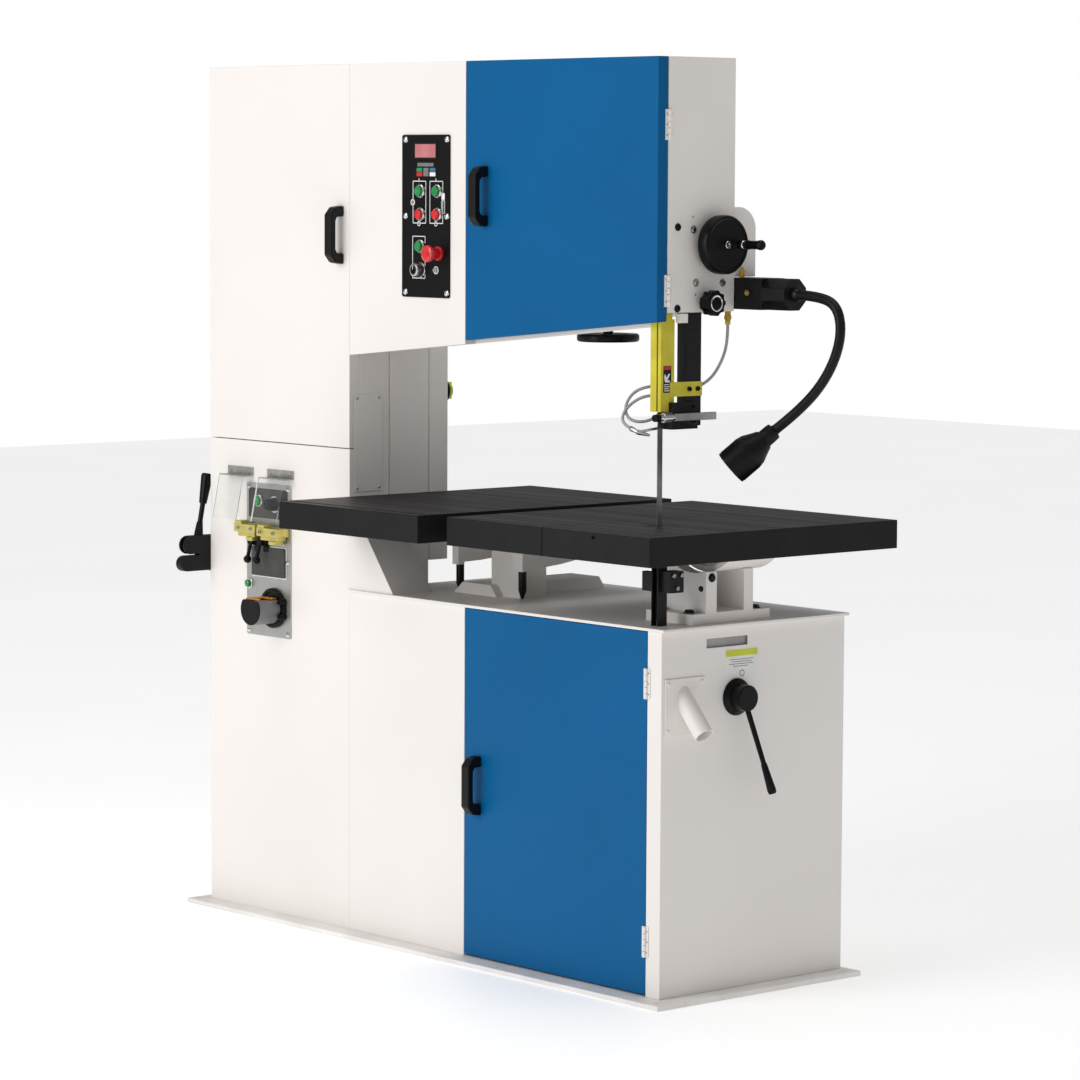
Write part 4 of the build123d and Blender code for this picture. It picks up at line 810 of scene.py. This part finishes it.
tip = Vector((-13, -15, 1101))
turned(shape, [(0, -2), (5, -2), (5, 4), (2.2, (tip - elbow).length), (0, (tip - elbow).length)], elbow,
       tip - elbow, 24)
stay = Vector((-10.5, 12, 1115.5))
turned(shape, [(0, 0), (2.6, 0), (2.6, (stay - elbow).length), (0, (stay - elbow).length)], elbow,
       stay - elbow, 16)
place("air_nozzle_fitting", shape, "chromed", "guide", bevel=0.3, stands=["air_nozzle"])
shape = bmesh.new()
turned(shape, [(0, 0), (5.2, 0), (5.6, 1), (5.6, 10), (7.4, 10.5), (7.4, 17), (6.2, 18), (6.2, 26), (0, 26)],
       hose["points"][0], (0, 0, 1), 6)
place("hose_fitting", shape, "brass", "frame", bevel=0.4)
line = bpy.data.curves.new("air_hose_tube", "CURVE")
line.dimensions, line.use_fill_caps = "3D", True
line.bevel_depth, line.bevel_resolution = hose["radius"] * mm, 6
path = line.splines.new("NURBS")
path.points.add(len(hose["points"]) - 1)
for point, spot in zip(path.points, hose["points"]):
    point.co = [v * mm for v in spot] + [1]
path.order_u, path.use_endpoint_u, path.resolution_u = 3, True, 10
tube = bpy.data.objects.new("air_hose_tube", line)
line.materials.append(materials["clearPvc"])
bpy.context.scene.collection.objects.link(tube)
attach(tube, "frame")
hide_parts("air_hose")
print("guide and hose made")

# Work lamp
lamp = dict(y=194.6, z=1373, core=9.5, ring=0.5, pitch=3.4, aim=(-54, -52, -66),
            neck=((168.2, 194.6, 1373), (222, 194.6, 1373), (285, 192, 1358), (302, 189, 1300),
                  (276, 184, 1228), (215, 176, 1160), (147, 163, 1112)))
curve = bpy.data.curves.new("gooseneck", "CURVE")
curve.dimensions = "3D"
path = curve.splines.new("NURBS")
path.points.add(len(lamp["neck"]) - 1)
for point, spot in zip(path.points, lamp["neck"]):
    point.co = [v * mm for v in spot] + [1]
path.order_u, path.use_endpoint_u, path.resolution_u = 3, True, 16
grow("lamp_gooseneck", "conduit", curve, "blackEnamel", "lamp_arm",
     {"Core": lamp["core"] * mm, "Ring": lamp["ring"] * mm, "Pitch": lamp["pitch"] * mm}, stands=["lamp_arm"],
     angle=60)
shape = bmesh.new()
turned(shape, [(0, 0), (6, 0), (6, 16.3), (13.5, 16.3), (13.5, 24), (11, 30), (0, 30)],
       (152, lamp["y"], lamp["z"]), (1, 0, 0), 36)
ball = Vector(lamp["neck"][-1])
turned(shape, [(11 * math.sin(math.radians(a)), -11 * math.cos(math.radians(a))) for a in range(0, 181, 12)],
       ball, lamp["aim"], 36)
place("lamp_ferrule", shape, "blackEnamel", "lamp_arm", bevel=0.4)
aim = Vector(lamp["aim"]).normalized()
shape = bmesh.new()
turned(shape, [(0, 12.5), (12, 12.5), (12, 0), (15.5, 0), (17, 3), (17.5, 14), (17.5, 24), (21, 28),
               (23.5, 34), (28, 44), (33, 54), (35, 64), (35, 110.5),
               (33.6, 111.4), (32.4, 110), (32, 66), (26, 48), (14, 40), (0, 40)], ball, aim, 64)
place("lamp_shade", shape, "blackAbs", "lamp_head", bevel=0.4, stands=["lamp_head"])
rib = bmesh.new()
slab(rib, (-0.5, -0.55, 66), (0.55, 0.55, 106))
ring("lamp_shade_ribs", rib, 44, 35, ball, aim, "blackAbs", "lamp_head")
shape = bmesh.new()
turned(shape, [(0, 98), (31.6, 98), (31.6, 101), (0, 101)], ball, aim, 48)
place("lamp_lens", shape, "clearAcrylic", "lamp_head", bevel=0.4)
shape = bmesh.new()
turned(shape, [(0, 42), (9, 42), (9, 56), (15, 66), (16, 76), (13, 86), (7, 91), (0, 92)], ball, aim, 36)
place("lamp_bulb", shape, "printedWhite", "lamp_head")
shape = bmesh.new()
turned(shape, [(0, 0), (6, 0), (6, 4), (4.4, 4), (4.4, 8), (0, 8)], (66, 165, 1375), (1, -0.8, 0), 6)
turned(shape, [(0, 0), (5, 0), (5, 14), (3.4, 15), (3.4, 20), (0, 20)], (40, 176, 1403.5), (0, 0, 1), 24)
place("lamp_base_brass", shape, "brass", "frame", bevel=0.3)
shape = bmesh.new()
turned(shape, [(0, 8), (3, 8), (3, 12), (1.6, 16), (0, 16)], (66, 165, 1375), (1, -0.8, 0), 20)
place("lamp_base_tip", shape, "chromed", "frame")
print("lamp made")

# Cabinet side: lever, chute screws and the plain information plate
gear = dict(at=(52.3, 159, 586), root=(76, 159, 582), end=(114, 193, 417))
shape = bmesh.new()
turned(shape, [(0, -32), (10.9, -32), (10.9, 0), (36, 0), (37, 1.5), (36, 4), (29, 9), (26, 10), (26, 34),
               (24.5, 36), (0, 36)], gear["at"], (1, 0, 0), 56)
arm = Vector(gear["end"]) - Vector(gear["root"])
turned(shape, [(0, 0), (5.6, 0), (5, arm.length * 0.74), (6.2, arm.length * 0.77), (8, arm.length * 0.98),
               (9, arm.length * 1.07), (7.4, arm.length * 1.11), (0, arm.length * 1.11)], gear["root"], arm,
               36)
place("gear_lever_black", shape, "blackPhenolic", "gear_lever", bevel=0.5, stands=["gear_lever"])
# grey sheet behind the side slot: painted shade standing in for the shaded interior of the slot
shape = bmesh.new()
slab(shape, (44, 72, 680), (46, 196, 712))
place("slot_plate", shape, "slotShadeGrey", "frame")
bolts("chute_screws", "dome", [(55, y, z) for y in (-24, 65) for z in (532, 624)], (1, 0, 0),
      "whitePowderCoat", "frame", 4.6)
plate = dict(y=(128, 217), z=(626, 681), x=52)
shape = bmesh.new()
prism(shape, rounded((plate["y"][0], plate["z"][0]), (plate["y"][1], plate["z"][1]), 3), "x", plate["x"],
      plate["x"] + 0.4)
place("notice_plate", shape, "printedWhite", "frame")
shape = bmesh.new()
slab(shape, (52.3, 130, 666), (52.6, 215, 679))
place("notice_band", shape, "printedYellow", "frame")
shape = bmesh.new()
for k, (a, b) in enumerate(((140, 206), (146, 200), (138, 204), (150, 190))):
    slab(shape, (52.3, a, 659 - 4.5 * k), (52.6, b, 660.2 - 4.5 * k))
turned(shape, [(5, 0), (6.6, 0), (6.6, 0.3), (5, 0.3)], (52.3, 174, 632), (1, 0, 0), 24, loop=True)
place("notice_print", shape, "printedGrey", "frame")

# Table trunnion: hexagon bolts on washers; jacking screw and pin; pedestal studs
bolts("cradle_bolts", "hex", [(10, 71, 753), (17, 240, 753), (-75, 71, 753), (-80, 240, 753)], (0, 0, 1),
      "blackEnamel", "frame", 8.5, 13)
bolts("cradle_side_bolt", "hex", [(38, 104, 822)], (1, 0, 0), "blackEnamel", "frame", 6.5, 5)
bolts("cradle_front_bolts", "hex", [(24, 89, 800), (-64, 89, 846)], (0, -1, 0), "blackEnamel", "frame", 4.4,
      9)
shape = bmesh.new()
turned(shape, [(0, 0), (3, 0), (3, 5), (0, 6)], (42, -211, 918), (0, -1, 0), 20)
place("table_pin", shape, "blackEnamel", "table", bevel=0.4)
shape = bmesh.new()
for x in (-734, -535):
    turned(shape, [(0, 60), (8.4, 60), (8.4, 18), (2.2, 0.3), (0, 0.3)], (x, 112, 732), (0, 0, 1), 28)
place("pedestal_studs", shape, "blackEnamel", "frame", bevel=0.3)
bolts("pedestal_bolts", "hex", [(-734, 99, 846), (-535, 99, 842)], (0, -1, 0), "blackEnamel", "frame", 7, 3)
bolts("lower_guide_bolts", "cap", [(38, 2, 832), (38, 23, 832), (38, 12, 807)], (1, 0, 0), "zincPlated",
      "frame", 4, 3)

# Saw teeth on the cutting run, set to face the front
tooth = bmesh.new()
prism(tooth, [(-5.9, -1.9), (-5.9, 1.9), (-8.0, -1.6)], "x", -1.05, 0.05)
row("saw_teeth", tooth, 150, (0, 0, 742), (0, 0, 3.9), "bandSteel", "frame")

# Shear for cutting bands to length: two cheeks over a solid lower jaw
shear = dict(x=((-1423, -1418), (-1408, -1403)), pivot=(-70, 792))
py, pz = shear["pivot"]
upper = [(-92 + 20 * math.cos(math.radians(a)),
          792 + 20 * math.sin(math.radians(a))) for a in range(90, 271, 15)]
lower = [(-103 + 17 * math.cos(math.radians(a)),
          752 + 17 * math.sin(math.radians(a))) for a in range(90, 271, 15)]
jaw = [(30, 812)] + upper + [(-70, 773), (-70, 769)] + lower + [(30, 735)]
shape = bmesh.new()
for x0, x1 in shear["x"]:
    prism(shape, jaw, "x", x0, x1)
prism(shape, [(-36, 812), (-36, 769)] + lower + [(30, 735), (30, 812)], "x", -1418, -1408)
place("shear_cheeks", shape, "blackEnamel", "frame", bevel=1.2, stands=["shear_block"])
bolts("shear_bolts", "cap", [(-1423, -102, 751), (-1423, -62, 750), (-1423, -20, 750), (-1423, 14, 752),
                             (-1423, -20, 790), (-1423, 14, 796)], (-1, 0, 0), "zincPlated", "frame", 4.4, 4)
bolts("shear_front_bolts", "cap", [(-1408, -30, 735.5), (-1418, -30, 735.5)], (0, 0, -1), "zincPlated",
      "frame", 4, 2)
shape = bmesh.new()
prism(shape, [(py - 14, pz - 12), (py + 14, pz - 12), (py + 13, pz + 50), (py + 3, pz + 50),
              (py - 3, pz + 30)], "x", -1417.5, -1408.5)
turned(shape, [(0, 0), (4.9, 0), (4.9, 22), (0, 22)], (-1426, py, pz), (1, 0, 0), 24)
arm = Vector((-7, 25.8, 106.7))
turned(shape, [(0, 0), (5.6, 0), (5.6, 42), (8.4, 44), (9, 50), (13, 104), (11, 109), (0, 110)],
       (-1413, py + 8, pz + 47), arm, 36)
place("shear_lever_black", shape, "blackPhenolic", "shear_lever", bevel=0.6, stands=["shear_lever"])

# Rear and sides: main switch, box door, cover screws
shape = bmesh.new()
turned(shape, [(0, 0), (25, 0), (25, 5), (0, 5)], (-941, 231, 1139), (0, 1, 0), 40)
place("main_switch_plate", shape, "blackAbs", "frame", bevel=0.6)
shape = bmesh.new()
turned(shape, [(0, 5), (21, 5), (21, 12), (17, 19), (0, 20)], (-941, 231, 1139), (0, 1, 0), 40)
slab(shape, (-946, 250, 1121), (-936, 256, 1157))
place("main_switch_knob", shape, "limeKnob", "frame", bevel=1.2)
shape = bmesh.new()
prism(shape, rounded((-1150, 800), (-926, 1770), 8), "y", 228, 231)
place("electrical_door", shape, "whitePowderCoat", "frame", bevel=0.8)
shape = bmesh.new()
for z in (900, 1640):
    turned(shape, [(0, 0), (11, 0), (11, 3), (9, 4), (0, 4)], (-944, 231, z), (0, 1, 0), 32)
    slab(shape, (-945.2, 234.5, z - 6), (-942.8, 236.5, z + 6))
place("electrical_locks", shape, "zincPlated", "frame", bevel=0.3)
shape = bmesh.new()
prism(shape, [(-1060, 1560), (-1016, 1560), (-1038, 1598)], "y", 231, 231.4)
place("electrical_sign", shape, "printedYellow", "frame")
shape = bmesh.new()
prism(shape, [(-1040, 1590), (-1046, 1577), (-1039, 1577), (-1043, 1565), (-1031, 1580), (-1038, 1580),
              (-1034, 1590)], "y", 231.3, 231.6)
place("electrical_sign_bolt", shape, "printedBlack", "frame")
shape = bmesh.new()
slab(shape, (-913.2, -29, 936), (-912, 44, 1140))
place("cover_gasket", shape, "printedGrey", "frame")
bolts("cover_screws", "dome", [(-911.5, y, z) for y in (-22, 37) for z in (944, 1132)], (1, 0, 0),
      "zincPlated", "frame", 3.4)
bolts("back_cover_screws", "dome", [(x, 459.5, z) for x in (-490, -50) for z in (190, 380, 570)], (0, 1, 0),
      "zincPlated", "frame", 5)
bolts("column_back_screws", "hex", [(x, 175, z) for x in (-1188, -1172) for z in (200, 500)], (0, 1, 0),
      "zincPlated", "frame", 6)
bolts("housing_screws", "cap", [(x, 221, z) for x in (-34, 22) for z in (1414, 1486)], (0, 1, 0),
      "zincPlated", "frame", 4)
print("details made")

# Camera and light
view = dict(position=(5.7712, -5.3246, 1.6098), azimuth=48.99, elevation=5.184, roll=0.2725, focal=4078.35,
            size=1080)


def aimCamera():
    camera = bpy.data.objects.new("camera", bpy.data.cameras.new("camera"))
    bpy.context.scene.collection.objects.link(camera)
    a, e, roll = (math.radians(view[k]) for k in ("azimuth", "elevation", "roll"))
    back = Vector((math.sin(a) * math.cos(e), -math.cos(a) * math.cos(e), math.sin(e)))
    right = (-back).cross(Vector((0, 0, 1))).normalized()
    up = right.cross(-back)
    across = right * math.cos(roll) + up * math.sin(roll)
    upward = -right * math.sin(roll) + up * math.cos(roll)
    turn = Matrix((across, upward, back)).transposed().to_4x4()
    camera.matrix_world = Matrix.Translation(view["position"]) @ turn
    camera.data.sensor_width = 36
    camera.data.lens = view["focal"] * 36 / view["size"]
    camera.data.clip_end = 60
    bpy.context.scene.camera = camera


aimCamera()


def addLight(name, spot, aim, size, power):
    light = bpy.data.lights.new(name, "AREA")
    light.shape, light.size, light.size_y = "RECTANGLE", size[0], size[1]
    light.energy = power
    lamp = bpy.data.objects.new(name, light)
    bpy.context.scene.collection.objects.link(lamp)
    lamp.location = spot
    lamp.rotation_euler = (Vector(aim) - Vector(spot)).to_track_quat("-Z", "Y").to_euler()


strength = dict(overhead=0.8, sky=0.36, backdrop=1.0)
lights = [("key", (-1.6, -5.2, 3.2), (-0.6, 0, 1.0), (3.4, 3.0), 130),
          ("throat", (-0.5, -2.4, 1.2), (-1.0, 0.1, 1.2), (0.5, 0.9), 5)]
for name, spot, aim, size, power in lights:
    addLight(name, spot, aim, size, power)
sun = bpy.data.objects.new("overhead", bpy.data.lights.new("overhead", "SUN"))      # soft, straight down
sun.data.energy, sun.data.angle = strength["overhead"], 0.9
bpy.context.scene.collection.objects.link(sun)
world = bpy.data.worlds.new("studio")
bpy.context.scene.world = world
world.use_nodes = True
sky = world.node_tree       # lights the saw softly, and shows the camera a white backdrop
sky.nodes["Background"].inputs["Color"].default_value = (1, 1, 1, 1)
sky.nodes["Background"].inputs["Strength"].default_value = strength["sky"]
seen = addNode(sky, "ShaderNodeBackground", {"Color": (1, 1, 1, 1), "Strength": strength["backdrop"]})
sight = addNode(sky, "ShaderNodeLightPath")
mixed = addNode(sky, "ShaderNodeMixShader",
                {0: sight.outputs["Is Camera Ray"], 1: sky.nodes["Background"].outputs[0],
                 2: seen.outputs[0]})
sky.links.new(mixed.outputs[0], sky.nodes["World Output"].inputs["Surface"])
bpy.context.scene.view_settings.view_transform = "Standard"
floorReach = 14     # m, half the side of the studio floor
shape = bmesh.new()
bmesh.ops.create_grid(shape, x_segments=1, y_segments=1, size=floorReach)
mesh = bpy.data.meshes.new("floor")
shape.to_mesh(mesh)
shape.free()
floor = bpy.data.objects.new("floor", mesh)
floor.location.z = -0.2 * mm
mesh.materials.append(materials["paleFloor"])
bpy.context.scene.collection.objects.link(floor)
print("camera and light set")
